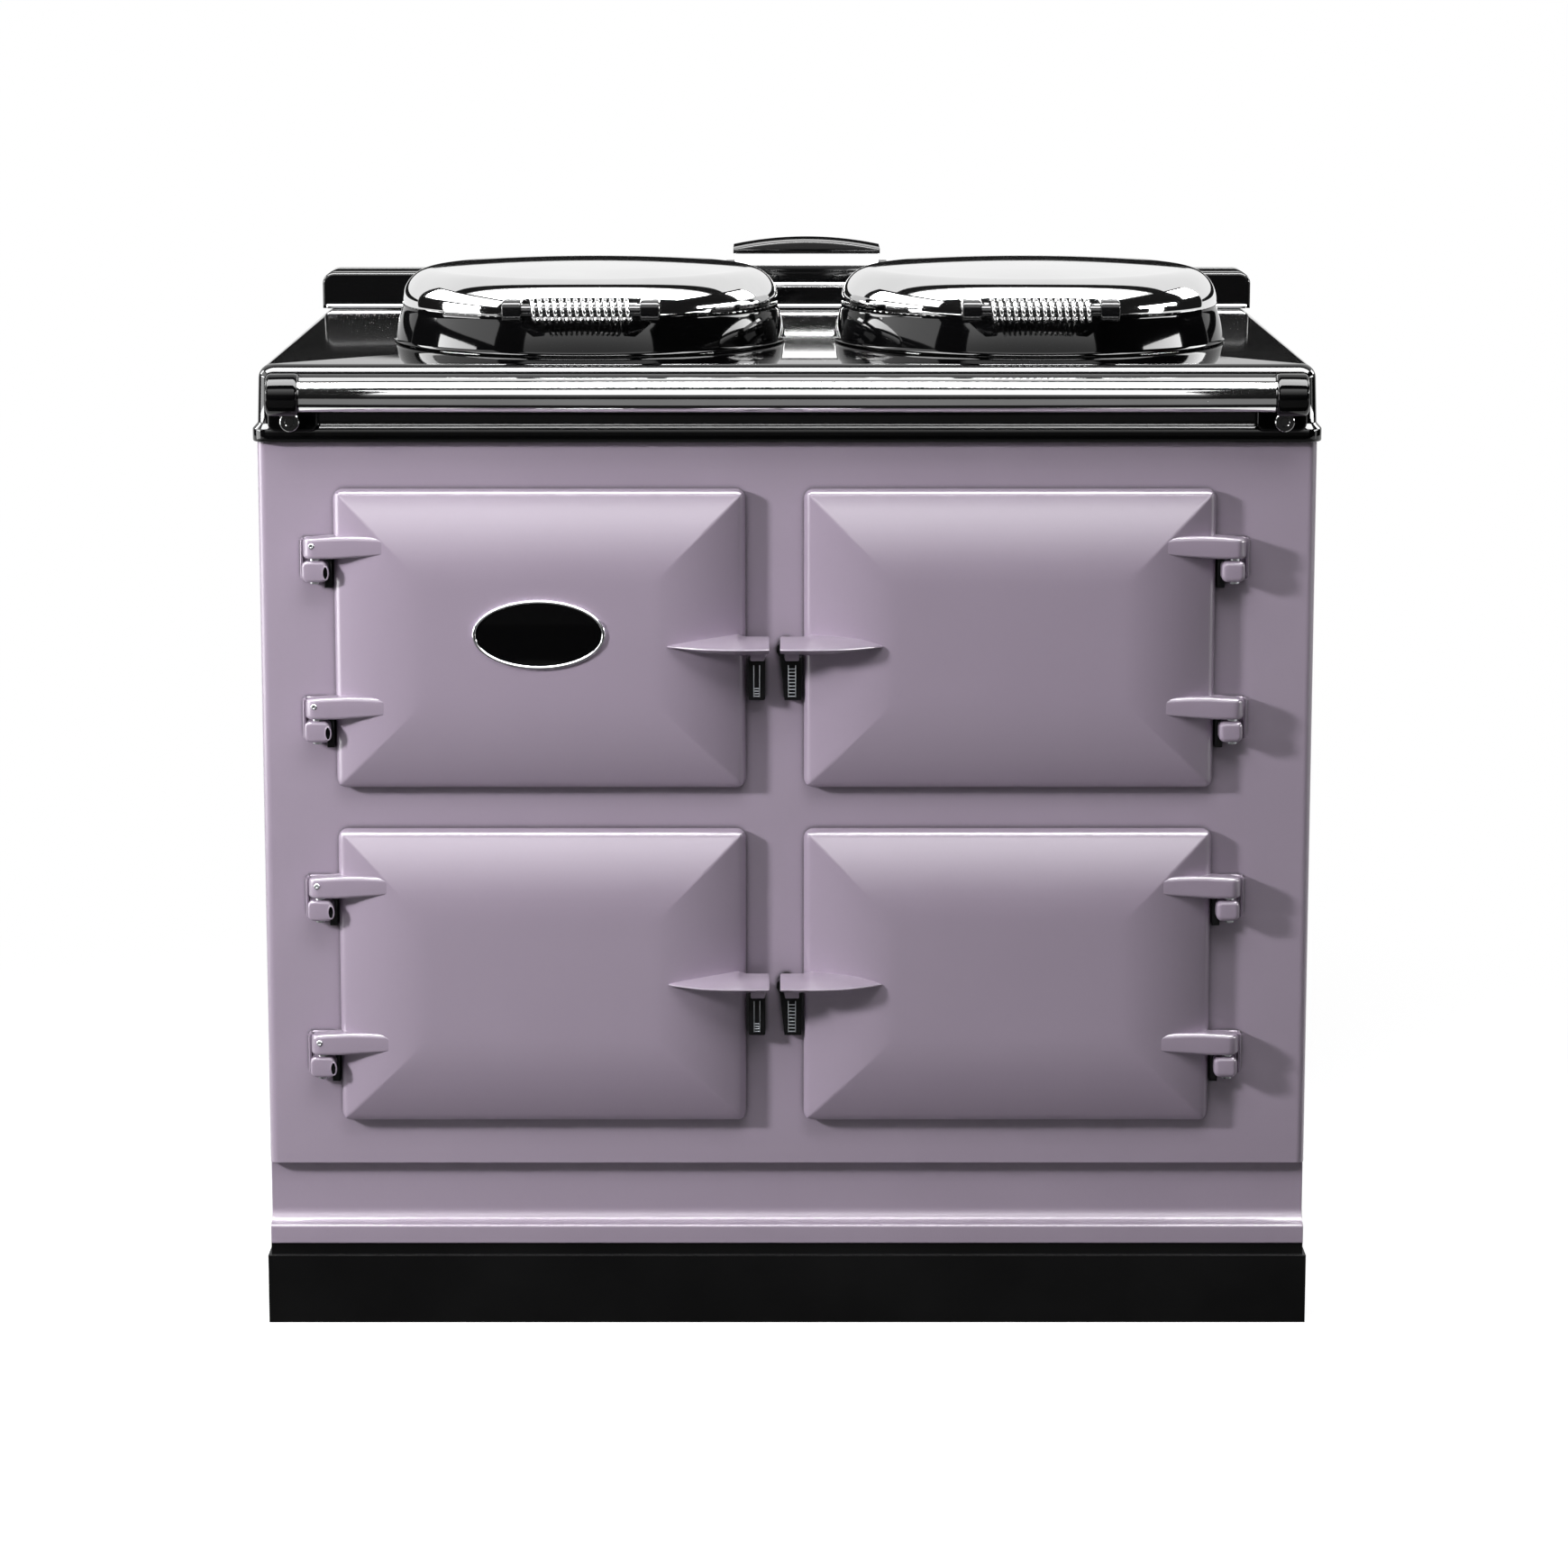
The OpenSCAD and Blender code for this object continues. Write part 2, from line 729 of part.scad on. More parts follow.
coil_path = concat(
  [for (x = [2 * wire_r, 0]) straight_point(0, -1, x)],
  [for (k = [elbow_steps - 1:-1:1]) elbow_point(0, -1, 90 * k / elbow_steps)],
  [for (k = [0:coil_turns * curl_rings]) curl_point(k / curl_rings)],
  [for (k = [1:elbow_steps - 1]) elbow_point(coil_turns, 1, 90 * k / elbow_steps)],
  [for (x = [0, 2 * wire_r]) straight_point(coil_turns, 1, x)]
);
coil_last = len(coil_path) - 1;
coil_lead = elbow_steps + 1;

function unit(v) = v / norm(v);
function coil_tangent(k) =
  k == 0 || k == coil_last ? [1, 0, 0] : unit(coil_path[k + 1] - coil_path[k - 1]);
function coil_angle(k) =
  360 * min(max(k - coil_lead, 0), coil_turns * curl_rings) / curl_rings;
function coil_out(k) = [0, cos(coil_angle(k)), sin(coil_angle(k))];

wire_sides = 6;
coil_points = [
  for (k = [0:coil_last])
    let (t = coil_tangent(k), u = unit(coil_out(k) - (coil_out(k) * t) * t), v = cross(t, u))
      for (j = [0:wire_sides - 1])
        coil_path[k] + wire_r * (cos(360 * j / wire_sides) * u + sin(360 * j / wire_sides) * v)
];
coil_faces = concat(
  [for (k = [0:coil_last - 1], j = [0:wire_sides - 1], half = [0, 1])
    let (
      a = k * wire_sides + j,
      b = k * wire_sides + (j + 1) % wire_sides,
      c = b + wire_sides,
      e = a + wire_sides
    ) half == 0 ? [a, e, b] : [b, e, c]],
  [for (j = [1:wire_sides - 2]) [0, j, j + 1]],
  [for (j = [1:wire_sides - 2])
    let (o = coil_last * wire_sides) [o, o + j + 1, o + j]]
);

// Least gap between stretches of the wire that are half a curl or more apart
coil_gap = min([
  for (a = [0:coil_last], b = [a + curl_rings / 2:1:coil_last]) norm(coil_path[a] - coil_path[b])
]) - 2 * wire_r;
echo(least_gap_of_the_coil_to_itself = coil_gap);

module lid_coil(i) {
  color(chrome)
    at_lid(i)
      translate([0, lid_handle_y, lid_handle_z]) polyhedron(coil_points, coil_faces);
}

module lid_hinge_lugs() {
  // Two lugs and a fixed pin behind each lid
  foot = 2 * knuckle_r;
  lug_t = 12;
  color(gloss_black)
    for (x = lid_centres) {
      for (s = [-1, 1])
        from_left(x + s * (knuckle_w / 2 + 0.5 + lug_t / 2) - lug_t / 2, lug_t)
          translate([lid_hinge_y, hob_h]) {
            translate([-foot / 2, 0]) square([foot, lid_hinge_z]);
            translate([0, lid_hinge_z]) circle(knuckle_r);
          }
      translate([x - knuckle_w / 2 - 0.5 - cut, lid_hinge_y, hob_h + lid_hinge_z])
        rotate([0, 90, 0]) cylinder(r = pin_r, h = knuckle_w + 1 + 2 * cut);
    }
}

// ---------- handrail ----------

rail_z = hob_h - rail_drop;
rail_y = front_y - rail_stand;
bracket_x = hob_w / 2 - bracket_inset;
socket_out = 4;
bolt_r = 5;
bolt_z = apron_z + 20;
bolt_head_r = 9;
foot_t = 15;

rail_end = bracket_x + socket_out;

module handrail() {
  color(chrome)
    translate([-rail_end, rail_y, rail_z])
      rotate([0, 90, 0]) cylinder(r = rail_r, h = 2 * rail_end);
}

module rail_brackets() {
  // Closed socket round the rail's end, a neck and a foot on the apron
  foot_z = apron_z + 9;
  neck_low = bolt_z + bolt_head_r + 2;
  color(gloss_black)
    for (s = [0, 1])
      mirror([s, 0, 0])
        difference() {
          union() {
            translate([rail_end - socket_w / 2, rail_y, rail_z])
              rotate([0, 90, 0]) cylinder(r = socket_r, h = socket_w);
            // Neck, whose underside clears the bolt's head
            from_left(rail_end - socket_w / 2, socket_w)
              translate([rail_y, rail_z])
                polygon([
                  [0, -socket_r], [rail_stand, neck_low - rail_z],
                  [rail_stand, socket_r - 5], [0, socket_r - 3]
                ]);
            from_front(front_y - foot_t, foot_t)
              round_rect(bracket_x - bracket_w / 2, foot_z, bracket_w, rail_z + 6 - foot_z, 9);
          }
          hob_block();
          translate([-rail_end, rail_y, rail_z])
            rotate([0, 90, 0]) cylinder(r = rail_r, h = 2 * rail_end);
          translate([bracket_x, 0, bolt_z])
            rotate([90, 0, 0]) cylinder(r = bolt_r, h = -2 * front_y);
        }
}

module rail_bolts() {
  // Cap-head bolts through the brackets into the apron
  head_h = 6;
  key_r = 4;
  color(steel)
    for (s = [-1, 1])
      translate([s * bracket_x, front_y, bolt_z])
        difference() {
          rotate([90, 0, 0]) {
            translate([0, 0, foot_t]) cylinder(r = bolt_head_r, h = head_h);
            cylinder(r = bolt_r, h = foot_t + cut);
          }
          rotate([90, 0, 0])
            translate([0, 0, foot_t + head_h / 2]) cylinder(r = key_r, h = head_h, $fn = 6);
          // The apron, which the shank ends against
          translate([-s * bracket_x, -front_y, -bolt_z]) hob_block();
        }
}

// ---------- ovens, shelves and elements ----------

ledge_w = 7;
ledge_t = 6;
ledge_in = 24;

module oven(d) {
  color(iron)
    at_door(d)
      difference() {
        box_outside(oven_d);
        difference() {
          from_front(plate_t - cut, oven_d + cut) mouth(0);
          for (x = [oven_x0 - cut, oven_x0 + oven_w - ledge_w])
            translate([x, plate_t + ledge_in, oven_z0 + shelf_lift - ledge_t])
              cube([ledge_w + cut, oven_d - ledge_in, ledge_t]);
        }
      }
}

module oven_shelves() {
  // Wire grids that rest on the ovens' ledges
  rod = 3;
  wire = 2;
  side_x = oven_x0 + rod + 1.5;
  y0 = plate_t + ledge_in + 6;
  length = oven_d - ledge_in - 16;
  bars = 8;
  color(steel)
    for (d = OVEN_DOORS)
      at_door(d)
        translate([0, 0, oven_z0 + shelf_lift + rod + seat_gap]) {
          for (x = [side_x, door_w - side_x])
            translate([x, y0, 0]) rotate([-90, 0, 0]) cylinder(r = rod, h = length);
          for (y = [y0 + 12, y0 + length / 2, y0 + length - 12])
            translate([side_x, y, 0]) rotate([0, 90, 0]) cylinder(r = rod - 0.5, h = door_w - 2 * side_x);
          for (k = [1:bars])
            translate([side_x + k * (door_w - 2 * side_x) / (bars + 1), y0 + 6, 0])
              rotate([-90, 0, 0]) cylinder(r = wire, h = length - 12);
        }
}

module oven_elements() {
  // Sheathed loop under the roof of each oven, fed through its back
  rod = 4;
  half = 88;
  length = oven_d - 160;
  color([0.35, 0.33, 0.32])
    for (d = OVEN_DOORS)
      at_door(d)
        translate([door_w / 2, plate_t + oven_d, oven_z0 + oven_h - 14]) {
          for (s = [-1, 1])
            translate([s * half, -length, 0])
              rotate([-90, 0, 0]) cylinder(r = rod, h = length);
          translate([0, -length, 0])
            intersection() {
              rotate_extrude() translate([half, 0]) circle(rod);
              translate([-2 * half, -2 * half, -rod - cut]) cube([4 * half, 2 * half, 2 * rod + 2 * cut]);
            }
        }
}

// ---------- controls behind the upper left door ----------

box_d = 96;
knob_h = 20;
panel_y = plate_t + 50;
panel_wall = 4;
knob_xs = [door_w / 2 - knob_pitch, door_w / 2, door_w / 2 + knob_pitch];
knob_z = oven_z0 + oven_h / 2;
shaft_r = 3;
shaft_len = 10;

module control_box() {
  color(steel)
    at_door(UL)
      difference() {
        box_outside(box_d);
        from_front(plate_t - cut, box_d + cut) mouth(0);
      }
}

module control_panel() {
  // Upright panel with a bore for each knob's shaft
  color(gloss_black)
    at_door(UL)
      difference() {
        from_front(panel_y, panel_wall) mouth(0);
        for (x = knob_xs)
          translate([x, panel_y - cut, knob_z])
            rotate([-90, 0, 0]) cylinder(r = shaft_r + pin_clear, h = panel_wall + 2 * cut);
      }
}

module knob(k) {
  // Dial with a skirt, a pointer rib and a shaft through the panel
  color(gloss_black)
    at_door(UL)
      translate([knob_xs[k], panel_y - 0.6, knob_z])
        rotate([90, 0, 0]) {
          cylinder(r = knob_r, h = 3);
          cylinder(r = knob_r - 4, h = knob_h - 5);
          intersection() {
            translate([-3.5, -knob_r + 1, 3]) cube([7, 2 * knob_r - 2, knob_h - 3]);
            cylinder(r = knob_r - 1, h = knob_h);
          }
          translate([0, 0, -shaft_len]) cylinder(r = shaft_r, h = shaft_len + cut);
        }
}

// ---------- doors ----------

// Height of the crowned face over the rim, at distance t from the nearest edge
function crown_height(t) =
  let (s = crown_run - min(t, crown_run)) door_crown - crown_rad + sqrt(pow(crown_rad, 2) - pow(s, 2));

// Outline across a door of width w: a flat back, thin rims and a crowned middle
module crown_section(w) {
  steps = [for (k = [0:crown_steps]) crown_run * k / crown_steps];
  face = -door_stand - door_rim;
  polygon(concat(
    [[0, -door_stand]],
    [for (t = steps) [t, face - crown_height(t)]],
    [for (k = [crown_steps:-1:0]) [w - steps[k], face - crown_height(steps[k])]],
    [[w, -door_stand]]
  ));
}

module hinge_arm() {
  // Bevelled above and below, and round about the pin
  over_w = door_rim + crown_run / 2;
  bevel = 4;
  intersection() {
    linear_extrude(arm_h) {
      translate([-pin_out, -pin_stand]) circle(arm_r);
      translate([-pin_out, -pin_stand - arm_r]) square([pin_out + over_w, 2 * arm_r]);
    }
    from_left(-pin_out - 2 * arm_r, pin_out + over_w + 4 * arm_r)
      translate([-pin_stand, 0])
        polygon([
          [arm_r, 0], [-arm_r + 2, 0], [-arm_r, 2], [-arm_r, arm_h - bevel],
          [-arm_r + bevel, arm_h], [arm_r, arm_h]
        ]);
  }
}

// Depth of the solid door, crowned both ways so that its facets meet in mitred creases
door_depth = door_rim + door_crown;

module door_casing(d) {
  margin = 42;
  color(enamel)
    at_door(d)
      difference() {
        union() {
          intersection() {
            linear_extrude(door_h) crown_section(door_w);
            from_left(-cut, door_w + 2 * cut) mirror([1, -1]) crown_section(door_h);
            from_front(-door_stand - door_depth - cut, door_depth + cut)
              round_rect(0, 0, door_w, door_h, door_r);
          }
          for (z = arm_zs)
            difference() {
              translate([0, 0, z - arm_h / 2]) hinge_arm();
              // The arm runs into the casting and not behind it
              translate([0, -door_stand, 0]) cube([door_w, door_stand + cut, door_h]);
            }
        }
        from_front(-door_stand - door_pocket, door_pocket + cut)
          round_rect(margin, margin, door_w - 2 * margin, door_h - 2 * margin, 12);
        for (z = arm_zs)
          translate([-pin_out, -pin_stand, z - arm_h / 2 - cut])
            cylinder(r = pin_r + pin_clear, h = arm_h + 2 * cut);
      }
}

module door_liner(d) {
  // Pan that plugs the oven's mouth and closes the casting's pocket
  gap = 6;
  wall = 3;
  w = oven_w - 2 * gap;
  h = oven_h - 2 * gap;
  depth = door_stand + liner_in(d);
  color(steel)
    at_door(d)
      difference() {
        from_front(-door_stand, depth)
          round_rect(oven_x0 + gap, oven_z0 + gap, w, h, 10);
        from_front(-door_stand - cut, depth - wall + cut)
          round_rect(oven_x0 + gap + 12, oven_z0 + gap + 12, w - 24, h - 24, 8);
      }
}

module door_handle(d) {
  // Leaf-shaped lever with a sharp ridge, its tip lying on the crowned face
  tip = door_w - handle_in;
  end = door_w + handle_over;
  root = door_stand + door_rim + 6;
  tip_stand = door_stand + door_depth + 1;
  color(enamel)
    at_door(d)
      difference() {
        union() {
          intersection() {
            // Seen from the front
            from_front(-handle_stand - cut, handle_stand)
              translate([0, handle_z])
                polygon([
                  [tip, 0], [tip + 26, 8], [door_w - 6, 13], [end, 11],
                  [end, -9], [door_w - 6, -11], [tip + 26, -7]
                ]);
            // Seen from above
            linear_extrude(door_h)
              polygon([
                [tip, -tip_stand], [tip + 14, -tip_stand - 9], [tip + 36, -handle_stand + 3],
                [door_w - 8, -handle_stand], [end, -handle_stand + 1], [end, -root], [tip, -root]
              ]);
            // Seen from its end
            from_left(tip - cut, end - tip + 2 * cut)
              translate([0, handle_z])
                polygon([
                  [-root + cut, 16], [-handle_stand + 1.5, 1.5], [-handle_stand, 0],
                  [-handle_stand + 1.5, -1.5], [-root + cut, -14]
                ]);
          }
          // Tongue that drops behind the handle on to the catch
          translate([door_w + 4, -root - 16, handle_z - 14])
            cube([handle_over - 7, root + 11, 12]);
        }
        // Where the lever is let into the door's crowned face
        intersection() {
          linear_extrude(door_h) crown_section(door_w);
          from_left(-cut, door_w + cut) mirror([1, -1]) crown_section(door_h);
        }
      }
}

module badge() {
  // Bare oval plate with a raised rim, seated on the flat of the crown
  rim = 3.5;
  z = door_h / 2 + 8;
  color(chrome)
    at_door(UL)
      translate([door_w / 2, -door_stand - door_depth, z])
        rotate([90, 0, 0])
          difference() {
            linear_extrude(3) oval(badge_w / 2, badge_h / 2);
            translate([0, 0, 2]) linear_extrude(2) oval(badge_w / 2 - rim, badge_h / 2 - rim);
          }
}

// Ellipse by its two half axes
module oval(a, b) {
  polygon([for (t = [0:7.5:359]) [a * cos(t), b * sin(t)]]);
}

module door_seals() {
  // Woven rope ring between each door and the front plate
  out = 12;
  in = 3;
  color([0.2, 0.2, 0.2])
    for (d = DOORS)
      at_door(d)
        from_front(-door_stand + seat_gap, door_stand - seat_gap)
          difference() {
            mouth(out);
            mouth(in);
          }
}

// ---------- hinge lugs, pins and catches on the front plate ----------

lug_pad_t = 3.5;
lug_front = pin_stand + 8;

module hinge_lugs() {
  pad_w = 27;
  color(enamel)
    for (d = DOORS, z = arm_zs)
      at_door(d)
        difference() {
          union() {
            from_front(-lug_pad_t, lug_pad_t)
              round_rect(-pin_out - pad_w / 2 - 1, z - arm_h / 2 - lug_h - 2, pad_w, arm_h + lug_h + 4, 5);
            from_front(-lug_front, lug_front)
              round_rect(-pin_out - lug_w / 2, z - arm_h / 2 - lug_h - 0.4, lug_w, lug_h, 6);
          }
          translate([-pin_out, -pin_stand, z - arm_h / 2 - lug_h - cut])
            cylinder(r = pin_r, h = lug_h + 2 * cut);
        }
}

module hinge_pins() {
  color(steel)
    for (d = DOORS, z = arm_zs)
      at_door(d)
        translate([-pin_out, -pin_stand, z - arm_h / 2 - lug_h + 2])
          cylinder(r = pin_r, h = lug_h + arm_h - 4);
}

module door_catches() {
  // Keeper under each handle's tongue, with a groove for its striker
  catch_t = 14;
  catch_w = 17;
  top = handle_z - 14 - 1;
  color(gloss_black)
    for (d = DOORS)
      at_door(d)
        difference() {
          from_front(-catch_t, catch_t)
            round_rect(door_w + 3, top - catch_h, catch_w, catch_h, 2);
          translate([door_w + 8, -catch_t - cut, top - catch_h + 3])
            cube([8, 3 + cut, catch_h - 6]);
        }
}

// ---------- mains cable inlet ----------

gland_wall = 6;
gland_inset = 110;
gland_in = 12;
gland_len = 25;
gland_x = body_w / 2 - gland_inset;
gland_z = 150;

module cable_gland() {
  // Flanged inlet through the back panel, open for a cable
  color(gloss_black)
    translate([gland_x, body_back_y, gland_z])
      rotate([-90, 0, 0])
        difference() {
          union() {
            cylinder(r = gland_r + gland_wall + 5, h = 4);
            translate([0, 0, -gland_in]) cylinder(r = gland_r + gland_wall, h = gland_len);
          }
          translate([0, 0, -gland_in - cut]) cylinder(r = gland_r, h = gland_len + 2 * cut);
        }
}

// ---------- nodes ----------

plinth();
base_deck();
base_panel();
front_plate();
side_panels();
back_panel();
insulation();
top_plate();
rear_upstand();
upstand_bead();
vent_cowl();
vent_outlet();
vent_cap();
hotplates();
hotplate_rings();
lid_hinge_lugs();
handrail();
rail_brackets();
rail_bolts();
oven(UR);  // roasting_oven
oven(LL);  // simmering_oven
oven(LR);  // baking_oven
oven_shelves();
oven_elements();
control_box();
control_panel();
door_seals();
hinge_lugs();
hinge_pins();
door_catches();
cable_gland();
knob(0);  // knob_left
knob(1);  // knob_middle
knob(2);  // knob_right
door_casing(UL);  // door_casing_upper_left
door_casing(UR);  // door_casing_upper_right
door_casing(LL);  // door_casing_lower_left
door_casing(LR);  // door_casing_lower_right
door_liner(UL);  // door_liner_upper_left
door_liner(UR);  // door_liner_upper_right
door_liner(LL);  // door_liner_lower_left
door_liner(LR);  // door_liner_lower_right
door_handle(UL);  // door_handle_upper_left
door_handle(UR);  // door_handle_upper_right
door_handle(LL);  // door_handle_lower_left
door_handle(LR);  // door_handle_lower_right
badge();
lid_dome(0);  // lid_dome_left
lid_skirt(0);  // lid_skirt_left
lid_liner(0);  // lid_liner_left
lid_handle(0);  // lid_handle_left
lid_coil(0);  // lid_coil_left
lid_dome(1);  // lid_dome_right
lid_skirt(1);  // lid_skirt_right
lid_liner(1);  // lid_liner_right
lid_handle(1);  // lid_handle_right
lid_coil(1);  // lid_coil_right
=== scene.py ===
import json
import math

import bmesh
import bpy
import numpy as np
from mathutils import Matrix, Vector


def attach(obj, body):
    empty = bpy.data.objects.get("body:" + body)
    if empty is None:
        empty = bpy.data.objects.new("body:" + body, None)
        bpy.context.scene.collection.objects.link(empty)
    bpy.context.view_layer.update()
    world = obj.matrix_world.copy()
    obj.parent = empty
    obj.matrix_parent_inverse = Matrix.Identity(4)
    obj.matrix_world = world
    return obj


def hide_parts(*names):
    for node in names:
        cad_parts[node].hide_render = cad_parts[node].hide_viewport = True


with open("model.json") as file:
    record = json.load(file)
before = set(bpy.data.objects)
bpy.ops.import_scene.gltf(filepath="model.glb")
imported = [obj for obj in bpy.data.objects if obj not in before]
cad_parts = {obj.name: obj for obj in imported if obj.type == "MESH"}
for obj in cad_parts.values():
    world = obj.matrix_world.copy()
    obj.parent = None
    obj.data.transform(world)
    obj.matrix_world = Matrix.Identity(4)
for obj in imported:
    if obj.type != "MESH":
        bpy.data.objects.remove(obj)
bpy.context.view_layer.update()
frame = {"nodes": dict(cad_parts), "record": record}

MM = 0.001
WHITE, BLACK = (1, 1, 1, 1), (0, 0, 0, 1)

# Sizes of the CAD source that the finer pieces repeat, in millimetres
FRONT = -310.25
HOB_Z = 914.0
APRON_Z = 843.0
HOB_W = 988.0
HOB_FRONT = -320.25
HOB_BACK = 377.75
UPSTAND_Y = 301.75
VENT_X = 21.0
DOOR_W, DOOR_H, DOOR_R = 381.0, 280.0, 9.0
STAND, RIM, CROWN, RUN = 4.0, 9.5, 22.0, 90.0
PIN_OUT, PIN_STAND, ARM_R, ARM_HALF = 16.5, 20.0, 10.5, 8.8
ARM_ZS = (76.0, 226.0)
HANDLE_Z = 137.0
LID_X = (-191.5, 235.5)
LID_Y = -52.25
LID_R = 190.5
RAIL_Y, RAIL_Z, RAIL_HALF = FRONT - 48.0, 891.0, 461.0
KNOB_Y = FRONT + 62.0
DOORS = {
    "upper_left": (-419.5, 520.0, 1),
    "upper_right": (396.5, 520.0, -1),
    "lower_left": (-419.5, 200.5, 1),
    "lower_right": (396.5, 200.5, -1),
}


# ---------- camera ----------

def make_camera():
    data = bpy.data.cameras.new("camera")
    cam = bpy.data.objects.new("camera", data)
    bpy.context.scene.collection.objects.link(cam)
    data.sensor_width = 36.0
    data.lens = 105.0
    data.shift_y = -0.07
    data.clip_start, data.clip_end = 0.1, 200.0
    cam.location = (-0.0047, -4.510, 1.322)
    cam.rotation_euler = (math.radians(90 - 9.42), 0.0, math.radians(-0.024))
    bpy.context.scene.camera = cam


make_camera()


# ---------- shader nodes ----------

CORNER_SAMPLES = 6


def feed(tree, node, values):
    """Sets a node's inputs, by name or number, to plain values, or links outputs to them. None is passed over."""
    for name, value in values.items():
        if isinstance(value, bpy.types.NodeSocket):
            tree.links.new(value, node.inputs[name])
        elif value is not None:
            node.inputs[name].default_value = value


def add_node(tree, kind, values, output=0, **settings):
    """Makes a shader node with these settings and inputs, and returns one of its outputs."""
    node = tree.nodes.new("ShaderNode" + kind)
    for name, value in settings.items():
        setattr(node, name, value)
    feed(tree, node, values)
    return node.outputs[output]


def new_material(name):
    mat = bpy.data.materials.new(name)
    mat.use_nodes = True
    return mat, mat.node_tree, mat.node_tree.nodes["Principled BSDF"]


def bare_tree(owner):
    """The emptied node tree of a material or world."""
    owner.use_nodes = True
    owner.node_tree.nodes.clear()
    return owner.node_tree


def srgb(r, g, b):
    def lin(c):
        c /= 255.0
        return c / 12.92 if c <= 0.04045 else ((c + 0.055) / 1.055) ** 2.4
    return (lin(r), lin(g), lin(b), 1.0)


def shade(color, change):
    return tuple(min(1.0, c * change) for c in color[:3]) + (1.0,)


def object_place(tree):
    return add_node(tree, "TexCoord", {}, "Object")


def coords(tree, scale=(1, 1, 1)):
    return add_node(tree, "Mapping", {"Vector": object_place(tree), "Scale": scale})


def noise(tree, vector, scale, detail=2.0, rough=0.5):
    return add_node(tree, "TexNoise", {"Vector": vector, "Scale": scale, "Detail": detail, "Roughness": rough}, "Fac")


def spread(tree, fac, low, high, frm=0.3, to=0.7, **settings):
    """Maps fac from frm...to on to low...high."""
    ends = {"From Min": frm, "From Max": to, "To Min": low, "To Max": high}
    return add_node(tree, "MapRange", {"Value": fac, **ends}, "Result", **settings)


def blend(tree, fac, a, b, mode="MIX"):
    return add_node(tree, "Mix", {"Factor": fac, "A": a, "B": b}, "Result", data_type="RGBA", blend_type=mode)


def maths(tree, operation, *values):
    return add_node(tree, "Math", dict(enumerate(values)), operation=operation)


def length_of(tree, vector):
    return add_node(tree, "VectorMath", {0: vector}, "Value", operation="LENGTH")


def bump(tree, height, strength, distance, normal=None):
    return add_node(tree, "Bump", {"Height": height, "Strength": strength, "Distance": distance, "Normal": normal})


def soft_edges(tree, radius):
    return add_node(tree, "Bevel", {"Radius": radius}, samples=CORNER_SAMPLES) if radius else None


def paint_corner_shade(tree, color, reach):
    """Painted shade: darkens a colour towards black in corners narrower than reach, by ambient occlusion."""
    openness = add_node(tree, "AmbientOcclusion", {"Distance": reach}, "AO", samples=CORNER_SAMPLES)
    return blend(tree, spread(tree, openness, 0.06, 1.0, 0.48, 0.84), BLACK, color)


def mottle(tree, fac, color, low, high, frm=0.3, to=0.7):
    """A colour that wanders between low and high times itself."""
    return blend(tree, spread(tree, fac, 0, 1, frm, to), shade(color, low), shade(color, high))


# ---------- materials ----------

def enamel(name, color, rough, coat, coat_rough, wave=0.00006, tone=0.02, bevel=0.0, soot=0.0, ior=1.5):
    """Vitreous enamel: a fired glossy coat with orange peel, faint clouds and fine specks, and painted shade that
    darkens its corners.
    """
    mat, tree, bsdf = new_material(name)
    v = coords(tree)
    clouds = noise(tree, v, 9.0, 3.0)
    specks = blend(tree, spread(tree, noise(tree, v, 900.0), 0, 1, 0.25, 0.42), (0.86, 0.86, 0.86, 1), WHITE)
    base = blend(tree, 0.25, mottle(tree, clouds, color, 1 - tone, 1 + tone, 0.0, 1.0), specks, "MULTIPLY")
    normal = bump(tree, noise(tree, v, 70.0), 1.0, wave, soft_edges(tree, bevel))
    feed(tree, bsdf, {
        # Painted shade in the corners, where a reach for it is given
        "Base Color": paint_corner_shade(tree, base, soot) if soot else base,
        "IOR": ior,
        "Roughness": spread(tree, clouds, rough * 0.8, rough * 1.2, 0.0, 1.0),
        "Coat Weight": coat,
        "Coat Roughness": coat_rough,
        "Coat IOR": 1.5,
        "Normal": normal,
        "Coat Normal": normal,
    })
    return mat


def metal(name, color, rough, brushed=None, wave=0.0, scratch=0.15, bevel=0.0, tone=0.04):
    """Polished or brushed metal. brushed is the grain's scale along each axis."""
    mat, tree, bsdf = new_material(name)
    v = coords(tree)
    smear = noise(tree, v, 14.0, 3.0)
    normal = soft_edges(tree, bevel)
    if brushed:
        grain = noise(tree, coords(tree, brushed), 1500.0, 1.0, 0.6)
        normal = bump(tree, grain, 1.0, 0.000002, normal)
    else:
        grain = noise(tree, v, 260.0, 4.0, 0.6)
        if wave:
            normal = bump(tree, noise(tree, v, 40.0, 1.0), 1.0, wave, normal)
    scratches = spread(tree, grain, 0.0, rough * scratch * 4)
    feed(tree, bsdf, {
        "Base Color": mottle(tree, smear, color, 1 - tone, 1 + tone),
        "Metallic": 1.0,
        "Roughness": maths(tree, "ADD", scratches, spread(tree, smear, rough * 0.8, rough * 1.2)),
        "Normal": normal,
    })
    return mat


def rough_iron(name, color, rough=0.55):
    """Cast iron: sandy skin with a few darker patches."""
    mat, tree, bsdf = new_material(name)
    v = coords(tree)
    patches = noise(tree, v, 16.0, 5.0, 0.6)
    sand = noise(tree, v, 520.0, 3.0, 0.6)
    feed(tree, bsdf, {
        "Base Color": mottle(tree, patches, color, 0.75, 1.3),
        "Metallic": 0.6,
        "Roughness": spread(tree, patches, rough * 0.8, rough * 1.15),
        "Normal": bump(tree, sand, 0.6, 0.00025, soft_edges(tree, 0.0012)),
    })
    return mat


